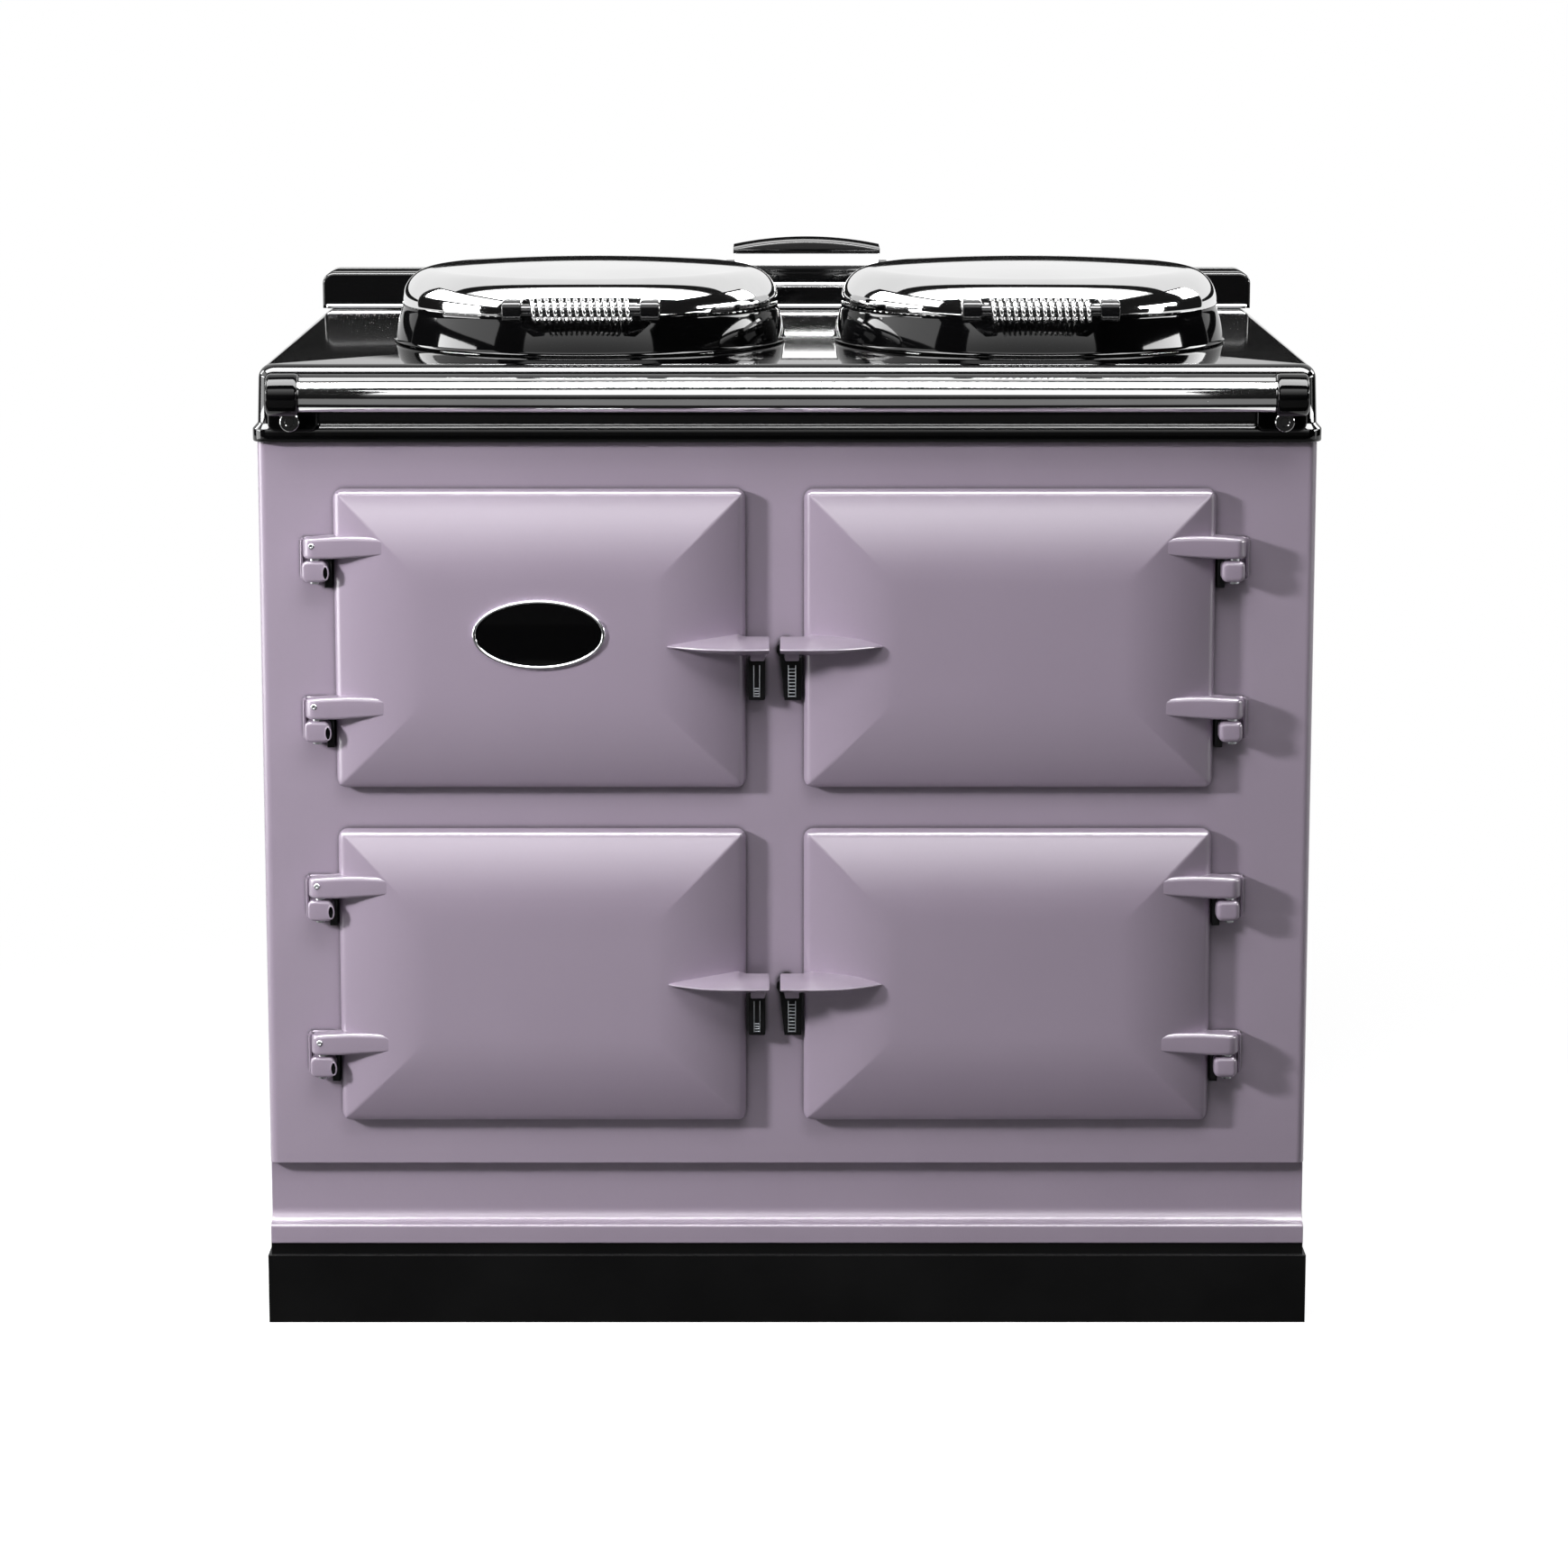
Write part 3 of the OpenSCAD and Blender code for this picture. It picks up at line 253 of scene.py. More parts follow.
def plastic(name, color, rough, grain=0.00002):
    mat, tree, bsdf = new_material(name)
    v = coords(tree)
    patches = noise(tree, v, 30.0, 3.0)
    feed(tree, bsdf, {
        "Base Color": mottle(tree, patches, color, 0.94, 1.06, 0.0, 1.0),
        "Roughness": spread(tree, patches, rough * 0.96, rough * 1.04, 0.0, 1.0),
        "Normal": bump(tree, noise(tree, v, 700.0), 0.5, grain, soft_edges(tree, 0.0008)),
    })
    return mat


def wool(name, color, scale, depth):
    mat, tree, bsdf = new_material(name)
    fibre = noise(tree, coords(tree), scale, 6.0, 0.75)
    feed(tree, bsdf, {
        "Base Color": mottle(tree, fibre, color, 0.6, 1.3),
        "Roughness": 0.95,
        "Sheen Weight": 0.3,
        "Normal": bump(tree, fibre, 1.0, depth),
    })
    return mat


def hotplate_iron(name):
    """Ground top of a hotplate: fine rings about each hotplate's centre."""
    mat, tree, bsdf = new_material(name)
    place = object_place(tree)
    radii = []
    for x in LID_X:
        moved = add_node(tree, "Mapping", {"Vector": place, "Location": (-x * MM, -LID_Y * MM, 0)})
        flat = add_node(tree, "VectorMath", {0: moved, 1: (1, 1, 0)}, operation="MULTIPLY")
        radii.append(length_of(tree, flat))
    rings = maths(tree, "SINE", maths(tree, "MULTIPLY", maths(tree, "MINIMUM", *radii), 4200.0))
    patches = noise(tree, coords(tree), 12.0, 5.0, 0.6)
    dark, pale = (0.05, 0.05, 0.052, 1), (0.13, 0.13, 0.135, 1)
    feed(tree, bsdf, {
        "Base Color": blend(tree, spread(tree, patches, 0, 1), dark, pale),
        "Metallic": 0.85,
        "Roughness": spread(tree, patches, 0.32, 0.5),
        "Normal": bump(tree, rings, 0.35, 0.00012),
    })
    return mat


HEATHER = srgb(153, 140, 157)
MATS = {}


def look(name, make, *values, **more):
    MATS[name] = make(name, *values, **more)


# The heather enamel gets painted shade in corners, reaching 7 mm
look("heather_enamel", enamel, HEATHER, 0.4, 0.6, 0.2, bevel=0.0012, soot=0.007)
look("door_enamel", enamel, HEATHER, 0.35, 1.0, 0.2, ior=1.3)
look("black_enamel", enamel, (0.002, 0.002, 0.0022, 1), 0.06, 0.0, 0.02, 0.00001, 0.1, 0.001, ior=1.45)
look("skirt_enamel", enamel, (0.002, 0.002, 0.0022, 1), 0.05, 0.0, 0.01, 0.00001, 0.1, ior=1.3)
look("catch_black", enamel, (0.004, 0.004, 0.0045, 1), 0.25, 0.0, 0.08, 0.00006, 0.1, 0.0008, ior=1.35)
look("handle_black", enamel, (0.003, 0.003, 0.0033, 1), 0.12, 0.0, 0.03, 0.00002, 0.1, ior=1.4)
look("polished_chrome", metal, (0.76, 0.76, 0.76, 1), 0.05, bevel=0.0006)
look("lid_chrome", metal, (0.72, 0.72, 0.72, 1), 0.035)
look("coil_chrome", metal, (0.72, 0.72, 0.72, 1), 0.09)
look("dark_chrome", metal, (0.2, 0.2, 0.2, 1), 0.08)
look("badge_metal", metal, (0.85, 0.85, 0.87, 1), 0.06)
look("bright_steel", metal, (0.6, 0.61, 0.63, 1), 0.22, bevel=0.0006)
look("galvanised_steel", metal, (0.5, 0.52, 0.55, 1), 0.34, tone=0.14, wave=0.00008, bevel=0.0006)
look("door_liner_steel", metal, (0.46, 0.46, 0.48, 1), 0.32, brushed=(0.012, 1, 1), scratch=0.03, bevel=0.002)
look("lid_liner_aluminium", metal, (0.72, 0.73, 0.75, 1), 0.16, wave=0.0001)
look("bare_iron", rough_iron, (0.06, 0.06, 0.063, 1))
look("element_sheath", metal, (0.2, 0.16, 0.13, 1), 0.4, tone=0.35)
look("mineral_wool", wool, srgb(196, 186, 150), 320.0, 0.004)
look("seal_rope", wool, (0.055, 0.055, 0.055, 1), 900.0, 0.0012)
look("panel_enamel", plastic, (0.02, 0.02, 0.022, 1), 0.3)
look("knob_plastic", plastic, (0.015, 0.015, 0.016, 1), 0.28)
look("gland_plastic", plastic, (0.02, 0.02, 0.02, 1), 0.45, 0.00012)
look("hotplate_iron", hotplate_iron)
look("plinth_black", enamel, (0.0015, 0.0015, 0.0017, 1), 0.45, 0.0, 0.12, 0.00008, 0.15, 0.0008, ior=1.25)
look("dial_white", plastic, srgb(225, 225, 220), 0.4)

for part in frame["record"]["subparts"]:
    obj = frame["nodes"].get(part["node"])
    if obj is not None:
        obj.data.materials.clear()
        obj.data.materials.append(MATS[part["material_slot"]])
frame["nodes"]["hotplates"].data.materials[0] = MATS["hotplate_iron"]
frame["nodes"]["plinth"].data.materials[0] = MATS["plinth_black"]


# ---------- mesh helpers: every size in millimetres ----------

def finish_piece(name, bm, slot, body, replaces=(), sharp=38.0, look=None):
    """Makes the piece. look names another material than the slot's own."""
    bmesh.ops.remove_doubles(bm, verts=bm.verts, dist=0.00001)
    bmesh.ops.recalc_face_normals(bm, faces=bm.faces)
    limit = math.radians(sharp)
    for f in bm.faces:
        f.smooth = True
    for e in bm.edges:
        e.smooth = not (len(e.link_faces) == 2 and e.calc_face_angle() > limit)
    mesh = bpy.data.meshes.new(name)
    bm.to_mesh(mesh)
    bm.free()
    obj = bpy.data.objects.new(name, mesh)
    bpy.context.scene.collection.objects.link(obj)
    mesh.materials.append(MATS[look or slot])
    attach(obj, body)
    if replaces:
        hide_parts(*replaces)


def quarter(steps, first=0):
    """Cosine and sine at even steps of a quarter turn."""
    return [(math.cos(a), math.sin(a)) for a in (math.pi / 2 * k / steps for k in range(first, steps + 1))]


def oval(cx, cy, a, b, steps):
    turn = [2 * math.pi * k / steps for k in range(steps)]
    return [(cx + a * math.cos(t), cy + b * math.sin(t)) for t in turn]


def box(u0, u1, v0, v1):
    return [(u0, v0), (u1, v0), (u1, v1), (u0, v1)]


def rod(half, radius, tip, edge, core=0.01):
    """Profile of a rod that is tip thick at its ends and radius thick from edge on."""
    return [(core, -half), (tip, -half), (radius, edge - half), (radius, half - edge), (tip, half), (core, half)]


def add_rings(bm, rings, caps=True):
    """Skins rings of equally many points. A ring of one point closes to a tip."""
    made = [[bm.verts.new(Vector(p) * MM) for p in ring] for ring in rings]
    for a, b in zip(made, made[1:]):
        n = max(len(a), len(b))
        for k in range(n):
            m = (k + 1) % n
            if len(a) == 1:
                bm.faces.new((a[0], b[m], b[k]))
            elif len(b) == 1:
                bm.faces.new((a[k], a[m], b[0]))
            else:
                bm.faces.new((a[k], a[m], b[m], b[k]))
    if caps and len(made[0]) > 2:
        bm.faces.new(list(reversed(made[0])))
    if caps and len(made[-1]) > 2:
        bm.faces.new(made[-1])
    return made


def add_revolve(bm, profile, centre, steps=160, axis="z"):
    """Turns a profile of (radius, height) about an axis through centre."""
    cx, cy, cz = centre
    rings = []
    for r, h in profile:
        ring = []
        for u, v in oval(0, 0, r, r, steps if r > 1e-6 else 1):
            if axis == "z":
                ring.append((cx + u, cy + v, cz + h))
            elif axis == "x":
                ring.append((cx + h, cy + u, cz + v))
            else:
                ring.append((cx + u, cy + h, cz + v))
        rings.append(ring)
    add_rings(bm, rings, caps=False)


def round_rect(w0, w1, h0, h1, r, steps=6):
    """Points of a rectangle with round corners; r may be one radius or four, from the lower left on."""
    rs = r if isinstance(r, (tuple, list)) else (r,) * 4
    corners = [(w0, h0, 180), (w1, h0, 270), (w1, h1, 0), (w0, h1, 90)]
    pts = []
    for (x, y, a0), q in zip(corners, rs):
        cx = x + q if x == w0 else x - q
        cy = y + q if y == h0 else y - q
        for k in range(steps + 1):
            a = math.radians(a0 + 90.0 * k / steps)
            pts.append((cx + q * math.cos(a), cy + q * math.sin(a)))
    return pts


def inset(points, d):
    """Moves a convex outline, listed anticlockwise, inwards by d."""
    n = len(points)
    out = []
    for k in range(n):
        p, q, r = Vector(points[k - 1]), Vector(points[k]), Vector(points[(k + 1) % n])
        a = (q - p).normalized() if (q - p).length > 1e-9 else Vector((0, 0))
        b = (r - q).normalized() if (r - q).length > 1e-9 else Vector((0, 0))
        na, nb = Vector((-a.y, a.x)), Vector((-b.y, b.x))
        m = na + nb
        if m.length < 1e-9:
            m = nb
        m.normalize()
        c = max(0.35, m.dot(nb) if nb.length > 0 else m.dot(na))
        out.append(tuple(q + m * (d / c)))
    return out


def add_block(bm, outline, lo, hi, edge, place, steps=4, both=True):
    """A flat form from lo to hi, its edges rounded by edge. place maps (u, v, depth) to x, y, z."""
    near = [(edge * (1 - s), lo + edge * (1 - c)) for c, s in quarter(steps)]
    far = [(edge * (1 - c), hi - edge * (1 - s)) for c, s in quarter(steps)] if both else [(0.0, hi)]
    add_rings(bm, [[place(u, v, depth) for u, v in inset(outline, d)] for d, depth in near + far])


def front_place(u, v, depth):
    return (u, depth, v)


def side_place(u, v, depth):
    return (depth, u, v)


def top_place(u, v, depth):
    return (u, v, depth)


def add_pad(bm, outline, lo, hi, edge, steps):
    """A block on the front, rounded at its near edge alone."""
    add_block(bm, outline, lo, hi, edge, front_place, steps, both=False)


def add_tube(bm, path, radius, sides, closed=False):
    """A tube along a path, with frames carried along it so that it doesn't twist."""
    pts = [Vector(p) for p in path]
    n = len(pts)
    tangents = []
    for k in range(n):
        if closed:
            t = pts[(k + 1) % n] - pts[k - 1]
        else:
            t = pts[min(k + 1, n - 1)] - pts[max(k - 1, 0)]
        tangents.append(t.normalized())
    up = Vector((0, 0, 1)) if abs(tangents[0].z) < 0.9 else Vector((1, 0, 0))
    u = (up - tangents[0] * up.dot(tangents[0])).normalized()
    rings = []
    for p, t in zip(pts, tangents):
        u = (u - t * u.dot(t)).normalized()
        w = t.cross(u)
        rings.append([tuple(p + radius * (c * u + s * w)) for c, s in oval(0, 0, 1, 1, sides)])
    if closed:
        rings.append(rings[0])
    add_rings(bm, rings, caps=not closed)


# ---------- door castings ----------

CROWN_R = (RUN ** 2 + CROWN ** 2) / (2 * CROWN)
RIM_EDGE = 6.0


def crown(t):
    s = RUN - np.minimum(t, RUN)
    return CROWN - CROWN_R + np.sqrt(CROWN_R ** 2 - s ** 2)


def smooth_min(a, b, k):
    return np.minimum(a, b) - np.maximum(k - np.abs(a - b), 0) ** 2 / (4 * k)


def lines(length, middle):
    near = [0, 0.2, 0.6, 1.2, 2.0, 3.0, 4.2, 5.8, 7.8, 10.0]
    near += [10 + 2.5 * k for k in range(1, 13)] + [40 + 1.25 * k for k in range(1, 41)]
    inner = [RUN + (length - 2 * RUN) * k / middle for k in range(1, middle)]
    return np.array(sorted(near + inner + [length - t for t in near]))


def door_height(u, v):
    """How far the casting's face stands in front of the plate."""
    tu = np.minimum(u, DOOR_W - u)
    tv = np.minimum(v, DOOR_H - v)
    face = smooth_min(crown(tu), crown(tv), 0.25) + STAND + RIM
    short = RIM_EDGE - np.minimum(np.minimum(tu, tv), RIM_EDGE)
    return face - (RIM_EDGE - np.sqrt(np.maximum(RIM_EDGE ** 2 - short ** 2, 0)))


def add_door_face(bm, place):
    us = lines(DOOR_W, 26)
    vs = lines(DOOR_H, 13)
    uu, vv = np.meshgrid(us, vs, indexing="ij")
    h = door_height(uu, vv)
    # The corner squares are drawn on to quarter discs
    pu, pv = uu.copy(), vv.copy()
    for cu, su in ((DOOR_R, -1), (DOOR_W - DOOR_R, 1)):
        for cv, sv in ((DOOR_R, -1), (DOOR_H - DOOR_R, 1)):
            a = np.clip((uu - cu) * su / DOOR_R, 0, 1)
            b = np.clip((vv - cv) * sv / DOOR_R, 0, 1)
            inside = ((uu - cu) * su > 0) & ((vv - cv) * sv > 0)
            pu = np.where(inside, cu + su * DOOR_R * a * np.sqrt(1 - b * b / 2), pu)
            pv = np.where(inside, cv + sv * DOOR_R * b * np.sqrt(1 - a * a / 2), pv)
    nu, nv = len(us), len(vs)
    grid = [[bm.verts.new(Vector(place(pu[i, j], pv[i, j], -h[i, j])) * MM) for j in range(nv)] for i in range(nu)]
    for i in range(nu - 1):
        for j in range(nv - 1):
            a, b, c, d = grid[i][j], grid[i + 1][j], grid[i + 1][j + 1], grid[i][j + 1]
            um, vm = (us[i] + us[i + 1]) / 2, (vs[j] + vs[j + 1]) / 2
            # Beside a crease the squares are split along it
            if min(um, DOOR_W - um) >= RUN or min(vm, DOOR_H - vm) >= RUN:
                bm.faces.new((a, b, c, d))
            elif (um < DOOR_W / 2) == (vm < DOOR_H / 2):
                bm.faces.new((a, b, c))
                bm.faces.new((a, c, d))
            else:
                bm.faces.new((a, b, d))
                bm.faces.new((b, c, d))
    ring = [grid[i][0] for i in range(nu)] + [grid[-1][j] for j in range(1, nv)]
    ring += [grid[i][-1] for i in range(nu - 2, -1, -1)] + [grid[0][j] for j in range(nv - 2, 0, -1)]
    return ring


def join_rings(bm, a, b):
    n = len(a)
    for k in range(n):
        bm.faces.new((a[k], a[(k + 1) % n], b[(k + 1) % n], b[k]))
    return b


def build_door(side):
    x0, z0, hand = DOORS[side]

    def place(u, v, y):
        return (x0 + hand * u, FRONT + y, z0 + v)

    bm = bmesh.new()
    cx, cz = x0 + hand * DOOR_W / 2, z0 + DOOR_H / 2
    face = add_door_face(bm, place)

    def shrunk(ring, fx, fz, y):
        """The ring drawn in about the door's centre, at this depth."""
        made = []
        for v in ring:
            x, z = cx + (v.co.x / MM - cx) * fx, cz + (v.co.z / MM - cz) * fz
            made.append(bm.verts.new(Vector((x, y, z)) * MM))
        return made

    # Side walls back to the flat back, with a small round at its edge
    last = face
    for depth, draw in ((-STAND - 1.2, 0.0), (-STAND - 0.35, 0.35), (-STAND, 1.2)):
        fx, fz = 1 - draw / (DOOR_W / 2), 1 - draw / (DOOR_H / 2)
        last = join_rings(bm, last, shrunk(face, fx, fz, FRONT + depth))
    # Back of the casting, with its pocket's mouth behind the liner
    bm.faces.new(join_rings(bm, last, shrunk(last, 0.55, 0.55, FRONT - STAND)))
    # Hinge arms: round about the pin, crowned on top, tapering over the door and sinking into its crown
    reach = 60.0 if hand > 0 else 49.0
    along = [reach * k / 12 for k in range(11)]
    along += [reach - 5 + 5 * math.sin(math.radians(a)) for a in range(15, 91, 15)]
    plan = [(u, -PIN_STAND - ARM_R) for u in along] + [(u, -PIN_STAND + ARM_R) for u in reversed(along)]
    for a in range(0, 181, 10):
        s, c = math.sin(math.radians(a)), math.cos(math.radians(a))
        plan.append((-PIN_OUT - ARM_R * s, -PIN_STAND + ARM_R * c))
    plan = [(x0 + hand * u, FRONT + v) for u, v in plan]
    if hand < 0:
        plan.reverse()
    for z in ARM_ZS:
        zc = z0 + z

        def arm_place(x, y, h):
            u = (x - x0) * hand
            lift = 1.2 + 2.4 * math.sin(math.pi * min(1.0, max(0.0, (u + 27) / 84)))
            end = max(0.0, u - reach + 5) / 6.4
            taper = max(0.0, u) * 0.072
            up = (h - zc) / ARM_HALF * math.sqrt(1 - end * end)
            return (x, y, zc + up * (ARM_HALF + (lift if up > 0 else -taper)))

        add_block(bm, plan, zc - ARM_HALF, zc + ARM_HALF, 3.4, arm_place, 7)
    finish_piece("casing_" + side, bm, "door_enamel", "door_" + side, ["door_casing_" + side], sharp=50)


for side in DOORS:
    build_door(side)


# ---------- door handles ----------

# (distance from the leaf's tip, size): upper edge of a left and a right lever, lower edge, stand
LEVER_TOP_LEFT = [
    (0, 0.2), (6, 1.6), (14, 3.0), (26, 4.8), (44, 6.9), (58, 8.2), (65, 8.6), (67.5, 7.1), (80, 6.9), (94, 6.9)
]
LEVER_TOP_RIGHT = [
    (0, 0.2), (4, 2.0), (10, 3.9), (20, 6.2), (34, 7.6), (48, 8.2), (65, 8.4), (67.5, 7.1), (80, 6.9), (94, 6.9)
]
LEVER_LOW = [(0, -0.2), (8, -2.0), (26, -5.2), (44, -6.8), (66, -8.0), (80, -7.4), (94, -6.6)]
LEVER_STAND = [
    (0, 36.9), (5, 41.5), (14, 46.5), (24, 52.0), (36, 56.6), (50, 59.0), (64, 60.0), (80, 59.6), (94, 58.8)
]
LEVER_STATIONS = (
    0.0, 1.5, 3.5, 6, 9, 12.5, 17, 22, 28, 35, 42, 50, 58, 62, 65, 66.2, 67.5, 72, 80, 88, 92.8, 94
)


def at(table, s):
    return float(np.interp(s, [t[0] for t in table], [t[1] for t in table]))


def build_lever(side):
    x0, z0, hand = DOORS[side]
    tip = DOOR_W - 72.0
    root = STAND + RIM + 6.0
    ridge = z0 + HANDLE_Z
    rings = []
    for s in LEVER_STATIONS:
        t = DOOR_W - tip - s
        inside = -(STAND + RIM + float(crown(np.array(max(t, 0.0)))) - 4.0) if t > 0.5 else -root
        stand = at(LEVER_STAND, s)
        top, low = at(LEVER_TOP_LEFT if hand > 0 else LEVER_TOP_RIGHT, s), at(LEVER_LOW, s)
        if s > 93:
            stand, top, low = stand - 0.9, top - 0.9, low + 0.9
        deep_t = min(-stand + top * 2.75 + 1.0, inside - 0.5)
        deep_l = min(-stand - low * 3.0 + 1.0, inside - 0.5)
        back = max(inside, deep_t + 0.6, deep_l + 0.6)
        points = [
            (-stand, 0.0),
            (-stand + 0.5, 0.75),
            (-stand + 0.35 * (deep_t + stand), 0.42 * top + 0.3),
            (-stand + 0.7 * (deep_t + stand), 0.76 * top + 0.1),
            (deep_t, top),
            (back, top - 0.15),
            (back, low + 0.15),
            (deep_l, low),
            (-stand + 0.7 * (deep_l + stand), 0.74 * low - 0.1),
            (-stand + 0.35 * (deep_l + stand), 0.4 * low - 0.2),
            (-stand + 0.5, -0.75),
        ]
        rings.append([(x0 + hand * (tip + s), FRONT + y, ridge + z) for y, z in points])
    bm = bmesh.new()
    add_rings(bm, rings)
    # Hook that drops behind the lever on to the catch
    hook = [(DOOR_W + 4.5, -root - 15), (DOOR_W + 17.5, -root - 15), (DOOR_W + 19, -8.5), (DOOR_W + 4.5, -8.5)]
    plan = [(x0 + hand * u, FRONT + y) for u, y in hook]
    if hand < 0:
        plan.reverse()
    add_block(bm, plan, ridge - 14, ridge - 1.5, 1.6, top_place)
    finish_piece("lever_" + side, bm, "door_enamel", "door_" + side, ["door_handle_" + side], sharp=33)


for side in DOORS:
    build_lever(side)


# ---------- hob ----------

def build_hob():
    nose, flare, lip, neck = 13.0, 6.0, 14.0, 58.0
    corner, hole_r, wall = 18.0, 182.0, 3
    profile = [(8.0, 1.5), (1.6, 0.0), (0.45, 0.4), (0.0, 1.6), (0.0, lip - 2.6), (0.35, lip - 1.6)]
    profile += [(4.2, lip + 2.6), (4.7, lip + 3.8), (flare - 0.35, 48.0), (flare, neck)]
    profile += [(flare + nose * (1 - c), neck + nose * s) for c, s in quarter(12, 1)]
    bm = bmesh.new()
    rings = []
    for d, z in profile:
        r = max(corner - 0.7 * d, 4.5)
        outline = round_rect(-HOB_W / 2 + d, HOB_W / 2 - d, HOB_FRONT + d, HOB_BACK - d, r, 10)
        rings.append([(x, y, APRON_Z + z) for x, y in outline])
    loops = [add_rings(bm, rings, caps=False)[-1]]
    for x in LID_X:
        hole = [bm.verts.new(Vector((u, v, HOB_Z)) * MM) for u, v in oval(x, LID_Y, hole_r, hole_r, 96)]
        low = [bm.verts.new(v.co - Vector((0, 0, 8 * MM))) for v in hole]
        join_rings(bm, hole, low)
        loops.append(hole)
    edges = []
    for loop in loops:
        for pair in zip(loop, loop[1:] + loop[:1]):
            edges.append(bm.edges.get(pair) or bm.edges.new(pair))
    bmesh.ops.triangle_fill(bm, edges=edges, use_beauty=True, use_dissolve=False, normal=(0, 0, 1))
    # Inner walls of the underside
    w, f, b = HOB_W / 2 - 14, HOB_FRONT + 14, HOB_BACK - 8
    for shape in (box(-w, w, f, f + wall), box(-w, -w + wall, f, b), box(w - wall, w, f, b)):
        add_block(bm, shape, APRON_Z + 2, HOB_Z - 8, 0.4, top_place, 1)
    finish_piece("hob_casting", bm, "black_enamel", "body", ["top_plate"], sharp=60)


build_hob()


# ---------- upstand, vent and lower panel ----------

def build_upstand():
    half = 488
    bm = bmesh.new()
    outline = round_rect(-half, half, HOB_Z, 952, (0.5, 0.5, 12, 12), 8)
    add_block(bm, outline, UPSTAND_Y, HOB_BACK, 3.2, front_place, 6)
    finish_piece("upstand", bm, "black_enamel", "body", ["rear_upstand"], sharp=60)
    bm = bmesh.new()
    add_revolve(bm, rod(half - 4, 2.4, 1.6, 1), (0, UPSTAND_Y, HOB_Z + 2.4), 24, "x")
    finish_piece("foot_bead", bm, "polished_chrome", "body", ["upstand_bead"])


def build_cowl():
    y0, y1 = 298.75, 371.75
    top_z = HOB_Z + 58

    def half(z):
        return 76 + (58 - z) * 0.75

    def splayed(low, high):
        """Outline of the cowl between two heights above the hob."""
        a, b = half(low), half(high)
        x = VENT_X
        return [(x - a, HOB_Z + low), (x + a, HOB_Z + low), (x + b, HOB_Z + high), (x - b, HOB_Z + high)]

    bm = bmesh.new()
    add_block(bm, splayed(22, 46), y0, 304.0, 1.5, front_place, 3)
    add_block(bm, splayed(38, 46), y0 + 0.2, y1, 1.5, front_place, 3)
    finish_piece("cowl", bm, "black_enamel", "body", ["vent_cowl"], sharp=50)
    bm = bmesh.new()
    add_revolve(bm, rod(half(25), 3.0, 2.4, 0.8), (VENT_X, y0 + 1, HOB_Z + 25), 24, "x")
    finish_piece("cowl_bead", bm, "polished_chrome", "body")
    # Cap: a slab with an arched top
    bm = bmesh.new()
    w, side_h, rise, steps = 77.0, 5, 8.0, 28
    radius = (w * w + rise * rise) / (2 * rise)
    outline = [(VENT_X - w, top_z), (VENT_X + w, top_z), (VENT_X + w, top_z + side_h)]
    a_max = math.asin(w / radius)
    for k in range(1, steps):
        a = a_max - 2 * a_max * k / steps
        outline.append((VENT_X + radius * math.sin(a), top_z + side_h + rise - radius + radius * math.cos(a)))
    outline.append((VENT_X - w, top_z + side_h))
    add_block(bm, outline, y0 - 1, y1 + 1, 2.2, front_place, 4)
    finish_piece("cap", bm, "black_enamel", "body", ["vent_cap"], sharp=50)


def build_outlet():
    z0, z1 = HOB_Z + 45.5, HOB_Z + 59
    bm = bmesh.new()
    rings = []
    for half, d in ((-75.5, 0.5), (-75, 0.0), (75, 0.0), (75.5, 0.5)):
        x = VENT_X + half
        rings.append([(x, 299.6 + d, z0), (x, 302.4 + d, z1), (x, 371, z1), (x, 371, z0)])
    add_rings(bm, rings)
    finish_piece("outlet", bm, "polished_chrome", "body", ["vent_outlet"], sharp=30)
    # Black pads on the outlet's back for its slots, standing in for the dark openings: painted shade
    bm = bmesh.new()
    for k in range(11):
        x = VENT_X - 60 + 12 * k
        slot = round_rect(x - 3, x + 3, HOB_Z + 48, HOB_Z + 56, 1.5, 3)
        add_block(bm, slot, 370.5, 371.2, 0.2, front_place, 1)
    finish_piece("outlet_slot_shade", bm, "polished_chrome", "body", sharp=30, look="skirt_enamel")


def build_lower_panel():
    face, foot, low, high = FRONT + 12.0, FRONT - 2.0, 78, 162
    prof = [(face + 12, low), (foot, low)]
    prof += [(foot + 3.0 * (1 - c), 93.0 + 3.0 * s) for c, s in quarter(8)]
    prof += [(face - 11.0 * (1 - s), 110.0 - 14.0 * c) for c, s in quarter(12, 1)]
    prof += [(face, high), (face + 12, high)]
    bm = bmesh.new()
    ends = []
    for x, d in ((-490.0, 0.6), (-489.4, 0.0), (489.4, 0.0), (490.0, 0.6)):
        ends.append([(x, y + d, z) for y, z in prof])
    add_rings(bm, ends)
    finish_piece("lower_panel", bm, "heather_enamel", "body", ["base_panel"], sharp=35)


build_upstand()
build_cowl()
build_outlet()
build_lower_panel()


# ---------- lids ----------

